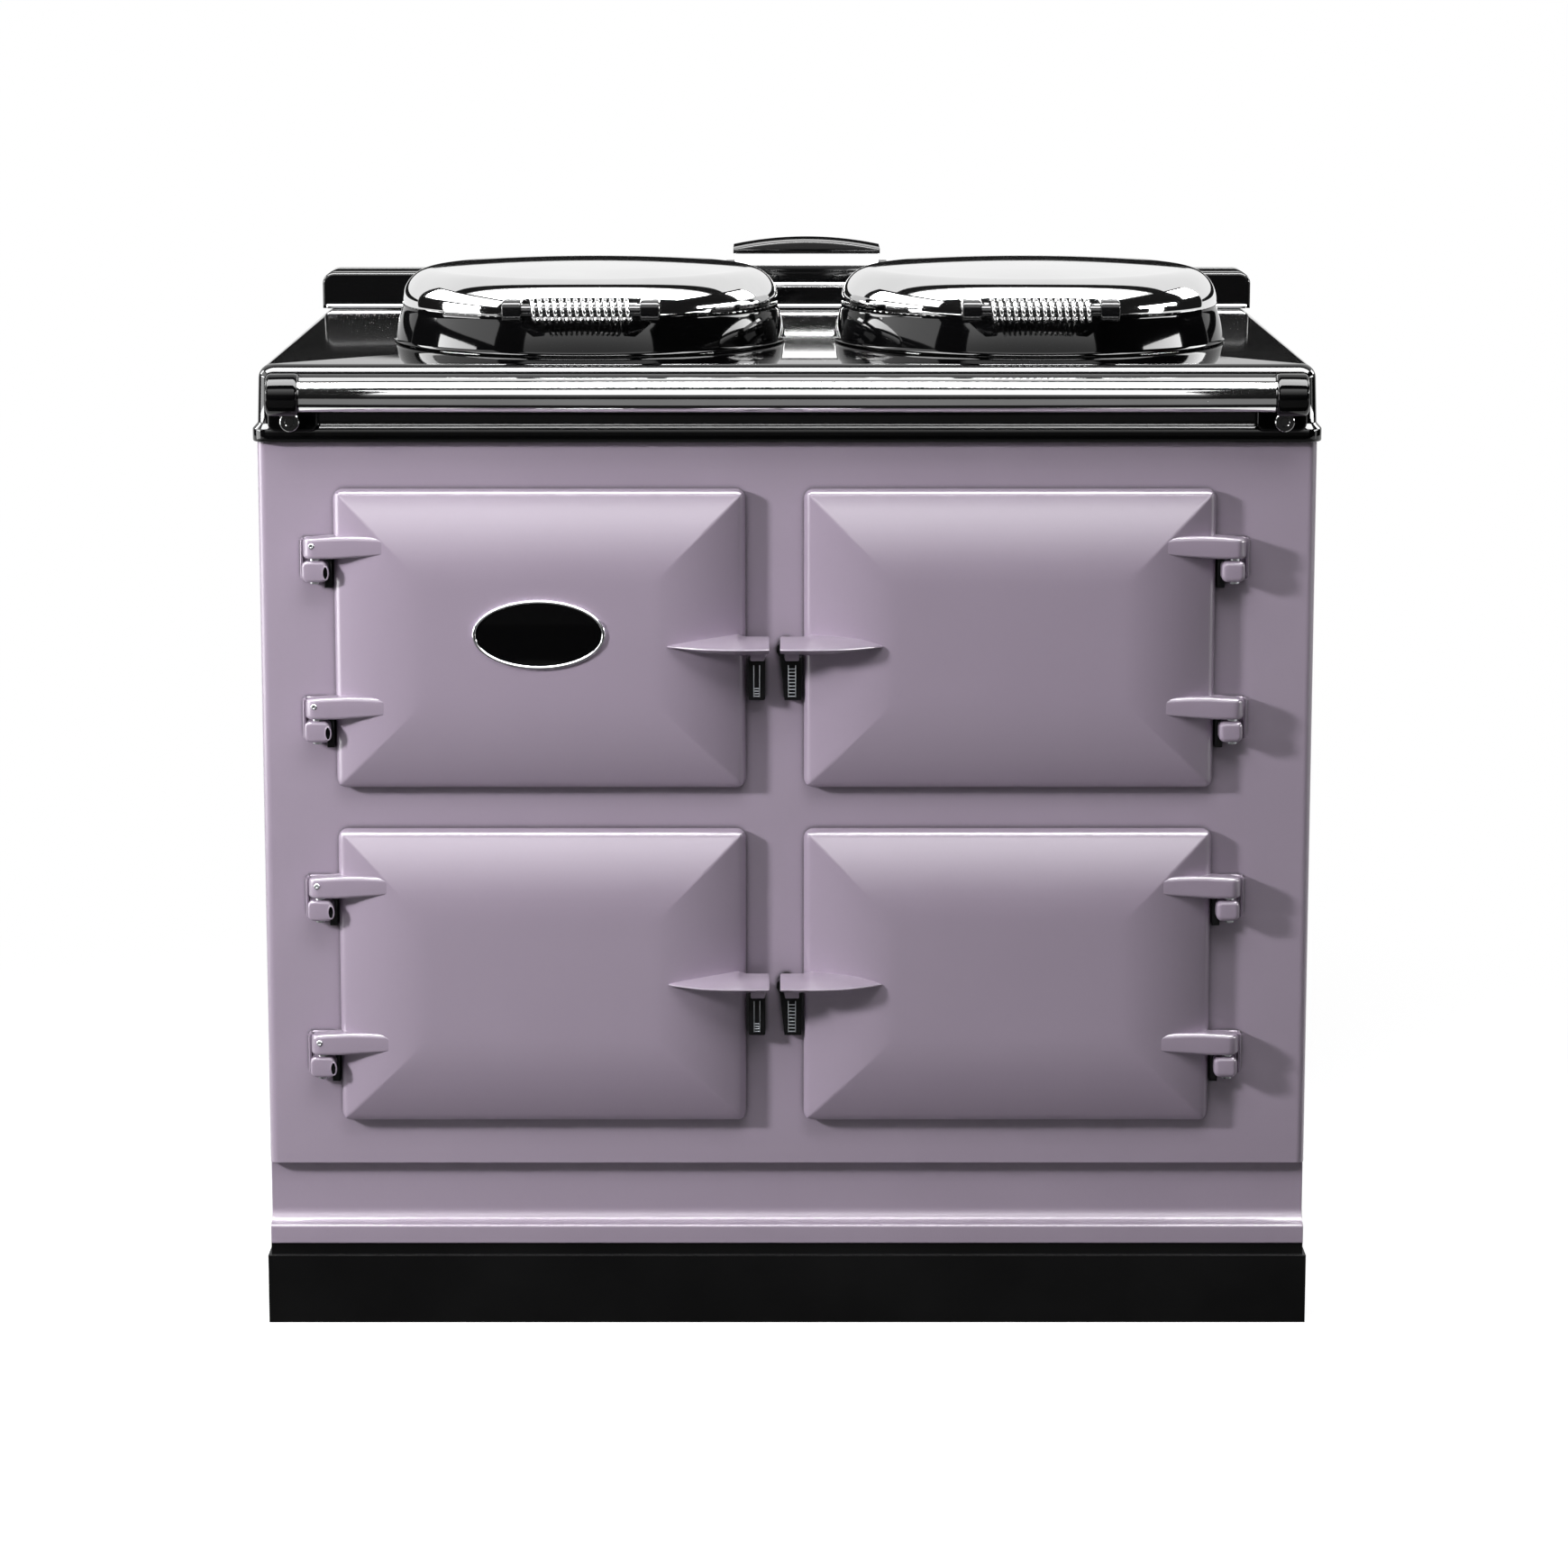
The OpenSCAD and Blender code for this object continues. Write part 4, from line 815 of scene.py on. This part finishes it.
def build_lid(side, cx):
    body = "lid_" + side
    centre = (cx, LID_Y, HOB_Z)
    # Dome: radius, shoulder's width and height, full height and the crown's drop
    foot, r, sw, sh, h, drop = 36.0, 182.5, 32.0, 31.0, 77.0, 6.0
    flat = r - sw
    outer = [(r - 1.2, foot), (r - 0.3, foot + 0.3), (r, foot + 1.2)]
    outer += [(flat + sw * c, h - drop - sh + sh * s) for c, s in quarter(24)]
    for k in range(1, 25):
        q = flat * (1 - k / 24)
        outer.append((q, h - drop * (q / flat) ** 2))
    bm = bmesh.new()
    add_revolve(bm, outer, centre, 240)
    inner = [(r - 1.2, foot), (r - 3.0, foot), (r - 3.0, 42.0), (flat, h - drop - 3.0), (0, h - 3.0)]
    add_revolve(bm, inner, centre, 120)
    finish_piece("dome_" + side, bm, "lid_chrome", body, ["lid_dome_" + side], sharp=50)
    # Skirt, with the hinge's leaf and knuckle
    outer = [(184.5, 0.5), (188.2, 0.4), (189.7, 0.7), (LID_R, 1.9)]
    for k in range(13):
        z = 2.5 + 30.5 * k / 12
        outer.append((LID_R - 8 * z / 34 + 0.7 * math.sin(math.pi * k / 12), z))
    outer += [(182.6, 34.2), (182.5, 36.0), (171.0, 36.0)]
    bm = bmesh.new()
    add_revolve(bm, outer, centre, 240)
    add_revolve(bm, [(184.5, 0.5), (181.0, 30.0), (171.0, 32.0), (171.0, 36.0)], centre, 120)
    hinge_y, leaf = LID_Y + LID_R + 26, 26
    shape = box(cx - leaf, cx + leaf, LID_Y + 179, hinge_y)
    add_block(bm, shape, HOB_Z + 21, HOB_Z + 30, 1.5, top_place, 3)
    end = [(11, leaf - 1.6), (10.6, leaf - 0.6), (9.6, leaf), (5.1, leaf)]
    knuckle = [(radius, -x) for radius, x in reversed(end)] + end
    add_revolve(bm, knuckle, (cx, hinge_y, HOB_Z + 30), 48, "x")
    finish_piece("skirt_" + side, bm, "skirt_enamel", body, ["lid_skirt_" + side], sharp=50)
    # Inner tray
    bm = bmesh.new()
    add_revolve(bm, [
        (0, 8.0), (60, 8.0), (61, 8.5), (64, 8.5), (65, 8.0), (150, 8.0), (151, 8.5), (156, 8.5), (157, 8.0),
        (183.2, 8.0), (184.4, 8.4), (184.6, 9.4), (182.8, 19), (179.8, 19), (179.8, 11), (0, 11)
    ], centre, 200)
    finish_piece("tray_" + side, bm, "lid_liner_aluminium", body, ["lid_liner_" + side], sharp=50)
    # Handle: two brackets and a rod
    hy, hz, half = LID_Y - 216.0, HOB_Z + 46.0, 64
    bm = bmesh.new()
    for x in (cx - half, cx + half):
        shape = round_rect(hy - 9.5, LID_Y - 158.5, hz - 9.5, hz + 9.5, (6, 2, 2, 6), 6)
        add_block(bm, shape, x - 9, x + 9, 1.8, side_place, 4)
    add_revolve(bm, [(6, -half), (6, half)], (cx, hy, hz), 32, "x")
    finish_piece("bracket_" + side, bm, "handle_black", body, ["lid_handle_" + side], sharp=50)
    build_coil(side, cx, hy, hz)


def build_coil(side, cx, hy, hz):
    """The coil: out of one bracket, an elbow, fourteen curls, and into the other."""
    wire, coil, turns, elbow, per_turn = 2.0, 10.0, 14, 4.0, 28
    run = 110.0 - 2 * (elbow + 2 * wire)
    pitch = run / turns

    def curl(t):
        a = 2 * math.pi * t
        return Vector((-run / 2 + pitch * t, coil * math.cos(a), coil * math.sin(a)))

    def bend(t, s, degrees):
        a, b = math.radians(degrees), 2 * math.pi * t
        out = Vector((s * elbow * (1 - math.cos(a)), 0, 0))
        return curl(t) + out + s * elbow * math.sin(a) * Vector((0, -math.sin(b), math.cos(b)))

    straight = Vector((4, 0, 0))
    angles = (18, 36, 54, 72, 90)
    path = [bend(0, -1, 90) - straight] + [bend(0, -1, a) for a in reversed(angles)]
    path += [curl(k / per_turn) for k in range(turns * per_turn + 1)]
    path += [bend(turns, 1, a) for a in angles] + [bend(turns, 1, 90) + straight]
    bm = bmesh.new()
    add_tube(bm, [p + Vector((cx, hy, hz)) for p in path], wire, 10)
    finish_piece("coil_" + side, bm, "coil_chrome", "lid_" + side, ["lid_coil_" + side], sharp=60)


for side, x in zip(("left", "right"), LID_X):
    build_lid(side, x)


# ---------- handrail ----------

def build_rail():
    bm = bmesh.new()
    add_revolve(bm, rod(RAIL_HALF, 16, 15.2, 1, core=0), (0, RAIL_Y, RAIL_Z), 96, "x")
    finish_piece("rail_tube", bm, "polished_chrome", "body", ["handrail"], sharp=50)
    # Profile of a socket with rounded lips, outer end first
    socket = [(0.01, 14), (12, 14), (17, 13.4), (18.8, 12.2), (19.46, 10.2)]
    socket += [(19.46, -12.2), (18.8, -14.4), (17.6, -15.6), (16.2, -16)]
    neck = [(RAIL_Y, 872.0), (RAIL_Y + 10, 871.6), (FRONT - 12, 873.5), (FRONT - 7.5, 873.8)]
    neck += [(FRONT - 4.6, 905.5), (RAIL_Y + 20, 906.5), (RAIL_Y, 907)]
    bm = bmesh.new()
    for s in (-1, 1):
        cx = s * RAIL_HALF
        add_revolve(bm, [(r, h * s) for r, h in socket], (cx, RAIL_Y, RAIL_Z), 64, "x")
        add_block(bm, neck, cx - 13.6, cx + 13.6, 2.5, side_place, 4)
        # Foot on the apron
        foot = round_rect(s * 455 - 23, s * 455 + 23, 853.5, 897, 8, 8)
        add_pad(bm, foot, FRONT - 15, FRONT - 5.2, 2.6, 5)
    finish_piece("rail_sockets", bm, "black_enamel", "body", ["rail_brackets"], sharp=50, look="skirt_enamel")
    screw = [(0.01, -3.0), (3.8, -3.0), (4.0, -3.2), (4.0, -5.6), (4.4, -6.0)]
    screw += [(8.2, -6.0), (9.0, -5.2), (9.0, 0.5), (0.01, 0.5)]
    bm = bmesh.new()
    for x in (-457, 457):
        add_revolve(bm, screw, (x, FRONT - 15, 863), 48, "y")
    finish_piece("rail_screws", bm, "bright_steel", "body", ["rail_bolts"], sharp=40, look="dark_chrome")


build_rail()


# ---------- badge ----------

def build_badge():
    cx, cz = -229.0, 668.0
    y = FRONT - 35.5
    a, b, rim = 61.5, 32.5, 3.4

    def ring(draw, depth, scale=1.0):
        outline = oval(cx, cz, (a - draw) * scale, (b - draw) * scale, 96)
        return [(u, y - depth, v) for u, v in outline]

    bm = bmesh.new()
    section = [(0.0, -0.5), (0.0, 1.6), (0.5, 2.5), (1.3, 3.0), (2.2, 3.0), (3.0, 2.6), (3.5, 1.8), (3.6, 0.2)]
    add_rings(bm, [ring(draw, depth) for draw, depth in section], caps=False)
    finish_piece("badge_rim", bm, "badge_metal", "door_upper_left", ["badge"], sharp=60)
    # Bare black field, slightly domed
    bm = bmesh.new()
    rings = [ring(3.2, 0.3), ring(rim, 1.2)]
    for k in range(1, 6):
        scale = 1 - k / 6
        rings.append(ring(rim, 1.2 + 1.2 * (1 - scale ** 2), scale))
    rings.append([(cx, y - 2.4, cz)])
    add_rings(bm, rings, caps=False)
    finish_piece("badge_field", bm, "black_enamel", "door_upper_left", sharp=60, look="skirt_enamel")


build_badge()


# ---------- hinge lugs, screws and catches ----------

def build_lugs():
    lugs, pins, eye_shade_discs, shadow_blocks = [bmesh.new() for _ in range(4)]
    for x0, z0, hand in DOORS.values():
        px = x0 - hand * PIN_OUT

        def span(a, b):
            """From a to b past the pin, towards the door where positive."""
            return sorted((px + hand * a, px + hand * b))

        for z in ARM_ZS:
            zc = z0 + z
            top, low = zc - ARM_HALF - 2.0, zc - ARM_HALF - 22.0
            # Pad on the plate, the lug on it, and the post between the lug and its pad, clear of the arm's swing
            pad = round_rect(*span(12.4, -13.6), low - 2, zc + ARM_HALF, 4.5, 6)
            add_pad(lugs, pad, FRONT - 3.5, FRONT, 1.4, 3)
            lug = round_rect(*span(12.4, -11.5 if hand > 0 else -9.5), low, top, 6.0, 8)
            add_pad(lugs, lug, FRONT - 28, FRONT - 0.5, 3.4 if hand > 0 else 4.6, 6)
            post = round_rect(*span(-13.9, -11.2), low + 1, zc + ARM_HALF - 0.5, 2.4, 4)
            add_pad(lugs, post, FRONT - 15.5, FRONT - 0.5, 1.2, 4)
            # Black block in the gap beside the door, where there is only shadow: painted shadow
            shadow_block = box(*span(8.0, 15.4), low - 7, zc - ARM_HALF - 0.8)
            add_pad(shadow_blocks, shadow_block, FRONT - 13.2, FRONT - 0.5, 1.6, 4)
            pin = [(0.01, low - 2.2), (3.6, low - 2.2), (4.4, low - 1.6), (4.6, low - 0.6), (4.6, zc - 1)]
            add_revolve(pins, pin + [(0.01, zc - 1)], (px, FRONT - PIN_STAND, 0), 32)
            if hand > 0:
                # Rolled eye at the lug's inner end, with a black disc in it for the dark inside of the eye: painted
                # shade
                ex, ez = px + 10.5, (top + low) / 2 - 1
                loop = [(u, FRONT - 27.6, v) for u, v in oval(ex, ez, 2.6, 6.0, 32)]
                add_tube(lugs, loop, 0.9, 8, closed=True)
                add_pad(eye_shade_discs, oval(ex, ez, 2.4, 5.8, 32), FRONT - 28.3, FRONT - 24, 0.3, 2)
    finish_piece("lugs", lugs, "heather_enamel", "body", ["hinge_lugs"], sharp=50, look="door_enamel")
    finish_piece("pins", pins, "bright_steel", "body", ["hinge_pins"], sharp=40)
    # Black blocks that stand in for the shadow beside the hinges: painted shadow
    finish_piece("painted_shadow_blocks", shadow_blocks, "catch_black", "body", sharp=50)
    # Black discs for the dark inside of the eyes: painted shade
    finish_piece("eye_painted_shade", eye_shade_discs, "bright_steel", "body", sharp=50, look="skirt_enamel")


def build_grub_screws(side):
    """The screws in a left-hand door's arms that hold the pins."""
    x0, z0, _ = DOORS[side]
    screw = [(0.01, -0.1), (1.2, -0.1), (1.3, -0.9), (2.2, -0.9), (2.7, -0.4), (2.7, 1.0)]
    bm = bmesh.new()
    for z in ARM_ZS:
        add_revolve(bm, screw, (x0 - PIN_OUT - 2, FRONT - PIN_STAND - ARM_R, z0 + z + 3.4), 32, "y")
    finish_piece("grub_screws_" + side, bm, "bright_steel", "door_" + side, sharp=40)


def build_catches():
    catches = bmesh.new()
    strips = bmesh.new()
    for x0, z0, hand in DOORS.values():
        ridge = z0 + HANDLE_Z
        top = ridge - 15
        if hand > 0:
            shape = round_rect(x0 + DOOR_W + 2.5, x0 + DOOR_W + 18, top - 39, top, 1.5, 4)
            sx, w, rungs, pitch = x0 + DOOR_W + 10.2, 3.1, 4, 2.4
        else:
            # The plate reaches to the door's edge: partly the catch, partly painted shadow in the gap to the door
            xa, xb = x0 - DOOR_W - 22.5, x0 - DOOR_W - 1.6
            shape = [(xa + 4.5, top - 39), (xb - 0.5, top - 39), (xb, top + 2), (xa, top + 2)]
            # Black horn that rises beside the lever's end, standing in for the lever's shadow there: painted shadow
            shadow_horn = [(xa + 0.5, top + 1), (xb - 9, top + 1), (xb - 9, ridge + 1), (xb - 13, ridge + 4)]
            shadow_horn += [(xa + 3, ridge + 3), (xa - 2.5, ridge - 3), (xa - 3, ridge - 8)]
            add_pad(catches, shadow_horn, FRONT - 16, FRONT - 0.5, 1.6, 4)
            sx, w, rungs, pitch = (xa + xb) / 2 + 1.0, 3.8, 9, 3.2
        add_pad(catches, shape, FRONT - 14, FRONT - 0.5, 1.0, 3)
        # Sprung striker: a thin frame with rungs
        for x in (sx - w, sx + w - 0.8):
            add_pad(strips, box(x, x + 0.8, top - 36, top - 6), FRONT - 14.7, FRONT - 13, 0.2, 2)
        for k in range(rungs):
            z = top - 35.6 + k * pitch
            add_pad(strips, box(sx - w, sx + w, z, z + 0.9), FRONT - 14.6, FRONT - 13, 0.2, 2)
    finish_piece("catches", catches, "catch_black", "body", ["door_catches"], sharp=50)
    finish_piece("strikers", strips, "galvanised_steel", "body", sharp=50)


build_lugs()
build_grub_screws("upper_left")
build_grub_screws("lower_left")
build_catches()


# ---------- door seals ----------

def build_seals():
    """Two ropes round each mouth. Their paths have a point at least every few millimetres."""
    bm = bmesh.new()
    for x0, z0, hand in DOORS.values():
        cx, cz = x0 + hand * DOOR_W / 2, z0 + DOOR_H / 2
        for grow in (5.2, 9.6):
            w, h = 168 + grow, 120 + grow
            path = round_rect(cx - w, cx + w, cz - h, cz + h, 14, 8)
            dense = []
            for a, b in zip(path, path[1:] + path[:1]):
                n = max(1, int(math.dist(a, b) / 6))
                dense += [(a[0] + (b[0] - a[0]) * q / n, a[1] + (b[1] - a[1]) * q / n) for q in range(n)]
            add_tube(bm, [(x, FRONT - 1.9, z) for x, z in dense], 1.8, 10, closed=True)
    finish_piece("seal_ropes", bm, "seal_rope", "body", ["door_seals"], sharp=70)


build_seals()


# ---------- control knobs and dial marks ----------

def build_knobs():
    x0, z0, _ = DOORS["upper_left"]
    y, cz = KNOB_Y, z0 + DOOR_H / 2
    knob = [(20, -0.7), (20, -2.6), (19.3, -3.6), (16.6, -4.2), (15.9, -5.2)]
    knob += [(15.2, -14.2), (14.4, -15.4), (12.8, -15.8), (0.01, -16.0)]
    dash = [(25, 0.5), (25, -0.5), (30, -0.5), (30, 0.5)]
    marks = bmesh.new()
    for name, dx in (("left", -92.0), ("middle", 0.0), ("right", 92.0)):
        cx = x0 + DOOR_W / 2 + dx
        bm = bmesh.new()
        add_revolve(bm, knob, (cx, y, cz), 72, "y")
        add_revolve(bm, [(0.01, -0.7), (20, -0.7)], (cx, y, cz), 72, "y")
        rib = round_rect(cx - 3.3, cx + 3.3, cz - 18.6, cz + 18.6, 2.4, 5)
        add_pad(bm, rib, y - 20.5, y - 3.4, 1.4, 4)
        finish_piece("dial_" + name, bm, "knob_plastic", "knob_" + name, ["knob_" + name], sharp=45)
        bm = bmesh.new()
        add_pad(bm, round_rect(cx - 0.8, cx + 0.8, cz + 6, cz + 17, 0.7, 3), y - 20.7, y - 20.2, 0.1, 1)
        finish_piece("pointer_" + name, bm, "knob_plastic", "knob_" + name, look="dial_white")
        # A mark every 30 degrees, clockwise from the top
        for k in range(10):
            a = math.radians(90 - 30 * k)
            u, w = math.cos(a), math.sin(a)
            pts = [(cx + u * r - w * s, cz + w * r + u * s) for r, s in dash]
            add_pad(marks, pts, y - 0.25, y + 0.2, 0.05, 1)
    finish_piece("dial_marks", marks, "panel_enamel", "body", look="dial_white")


build_knobs()


# ---------- studio ----------

def seen_directly(tree):
    """1 for rays from the camera, off a glossy surface or through glass, and 0 for light on the object."""
    path = tree.nodes.new("ShaderNodeLightPath").outputs
    rays = maths(tree, "MAXIMUM", path["Is Glossy Ray"], path["Is Transmission Ray"])
    return maths(tree, "MAXIMUM", path["Is Camera Ray"], rays)


def floor_material():
    """A grey floor lifted to white where it is seen. It keeps the object's shadow, which fades out further off."""
    grey, lift, fade_from, fade_to = 0.36, 0.86, 0.75, 1.7
    mat = bpy.data.materials.new("floor_white")
    tree = bare_tree(mat)
    seen = seen_directly(tree)
    diffuse = add_node(tree, "BsdfDiffuse", {"Color": (grey, grey, grey, 1)})
    glow = add_node(tree, "Emission", {"Color": WHITE, "Strength": maths(tree, "MULTIPLY", seen, lift)})
    near = add_node(tree, "AddShader", {0: diffuse, 1: glow})
    far = add_node(tree, "Emission", {"Color": WHITE, "Strength": 1.0})
    distance = length_of(tree, object_place(tree))
    fade = spread(tree, distance, 0, 1, fade_from, fade_to, interpolation_type="SMOOTHERSTEP")
    mix = add_node(tree, "MixShader", {0: maths(tree, "MULTIPLY", fade, seen), 1: near, 2: far})
    feed(tree, tree.nodes.new("ShaderNodeOutputMaterial"), {"Surface": mix})
    return mat


def card_material(name, level, rise=None):
    """rise is (low z, high z): the card then brightens from nothing at low to level at high."""
    mat = bpy.data.materials.new(name)
    tree = bare_tree(mat)
    values = {"Color": (level, level, level, 1)}
    if rise:
        height = add_node(tree, "SeparateXYZ", {0: object_place(tree)}, "Z")
        values = {"Color": WHITE, "Strength": spread(tree, height, 0.0, level, *rise)}
    glow = add_node(tree, "Emission", values)
    feed(tree, tree.nodes.new("ShaderNodeOutputMaterial"), {"Surface": glow})
    return mat


def plane(name, centre, across, up, material):
    """A rectangle about centre, spanned by two half vectors."""
    c, a, b = Vector(centre), Vector(across), Vector(up)
    mesh = bpy.data.meshes.new(name)
    mesh.from_pydata([c - a - b, c + a - b, c + a + b, c - a + b], [], [(0, 1, 2, 3)])
    mesh.materials.append(material)
    obj = bpy.data.objects.new(name, mesh)
    bpy.context.scene.collection.objects.link(obj)
    return obj


def card(name, centre, across, up, material):
    """A plane that only reflections show."""
    obj = plane(name, centre, across, up, material)
    obj.visible_camera = False
    obj.visible_diffuse = False
    obj.visible_transmission = False
    obj.visible_shadow = False
    obj.visible_volume_scatter = False


def area(name, location, target, size, power):
    """A lamp that reflections don't show."""
    data = bpy.data.lights.new(name, "AREA")
    data.shape = "RECTANGLE"
    data.size, data.size_y = size
    data.energy = power
    obj = bpy.data.objects.new(name, data)
    bpy.context.scene.collection.objects.link(obj)
    obj.location = location
    obj.rotation_euler = (Vector(target) - Vector(location)).to_track_quat("-Z", "Y").to_euler()
    obj.visible_glossy = False


def build_studio():
    plane("floor", (0, 0, 0), (60, 0, 0), (0, 60, 0), floor_material())
    dark = card_material("card_dark", 0.012)
    bright = card_material("box_bright", 26.0)
    # Cards and softboxes round the set
    card("card_front", (0, -7.0, 0.65), (7, 0, 0), (0, 0, 0.65), card_material("card_front", 0.08))
    card("box_front", (0, -7.0, 4.8), (7, 0, 0), (0, 0, 3.5), card_material("box_front", 9.0, (1.3, 8.3)))
    card("card_left", (-5.5, -1.5, 2.5), (0, 5.5, 0), (0, 0, 2.5), dark)
    card("card_right", (5.5, -1.5, 2.5), (0, 5.5, 0), (0, 0, 2.5), dark)
    card("card_floor", (0, -0.5335, 0.0006), (2.5, 0, 0), (0, 0.22, 0), dark)
    card("card_floor_mid", (0, -1.6, 0.0006), (2.5, 0, 0), (0, 0.8465, 0), card_material("card_grey", 0.22))
    card("card_floor_far", (0, -4.75, 0.0006), (7, 0, 0), (0, 2.3, 0), dark)
    card("card_near", (0, 1.2, 1.03), (2, 0, 0), (0, 0, 0.062), dark)
    card("card_strip", (0, 0.5, 3.2), (8, 0, 0), (0, 0.33, 0), dark)
    card("card_line", (0, -2.5, 3.2), (8, 0, 0), (0, 0.8, 0), dark)
    card("box_above", (0, -0.9, 3.25), (3, 0, 0), (0, 0.9, 0), bright)
    card("box_left", (-3.0, -0.5, 0.75), (0, 0.75, 0), (0, 0, 0.7), card_material("box_left", 7.0))
    card("box_corner_left", (-2.98, -0.5, 1.3), (0, 0.75, 0), (0, 0, 0.15), bright)
    card("box_corner_right", (2.98, -0.5, 1.3), (0, 0.75, 0), (0, 0, 0.15), bright)
    card("box_right", (3.0, -0.6, 0.75), (0, 0.3, 0), (0, 0, 0.7), card_material("box_right", 2.0))
    card("box_dim", (-3.4, -0.75, 2.45), (0, 1.5, 0), (0, 0, 0.7), card_material("box_dim", 4.0))
    card("box_rear_left", (-3.4, 1.3, 2.45), (0, 0.5, 0), (0, 0, 0.7), card_material("box_rear", 18.0))
    card("box_rear_right", (3.4, 1.6, 2.45), (0, 0.7, 0), (0, 0, 0.7), card_material("box_rear_r", 18.0))
    area("key", (-2.63, -1.84, 1.708), (-0.15, -0.31, 0.6), (0.34, 0.36), 109)
    area("fill_right", (2.6, 0.9, 1.2), (0.48, 0.1, 0.5), (1.6, 1.2), 26)
    area("top", (0.0, -1.98, 2.7), (0, -0.31, 0.6), (2.4, 0.9), 34)
    world = bpy.data.worlds.new("studio")
    bpy.context.scene.world = world
    tree = bare_tree(world)
    ambient = add_node(tree, "Background", {"Color": WHITE, "Strength": 0.025})
    backdrop = add_node(tree, "Background", {"Color": WHITE, "Strength": 1.0})
    mix = add_node(tree, "MixShader", {0: seen_directly(tree), 1: ambient, 2: backdrop})
    feed(tree, tree.nodes.new("ShaderNodeOutputWorld"), {"Surface": mix})


build_studio()

bpy.context.scene.view_settings.view_transform = "Standard"
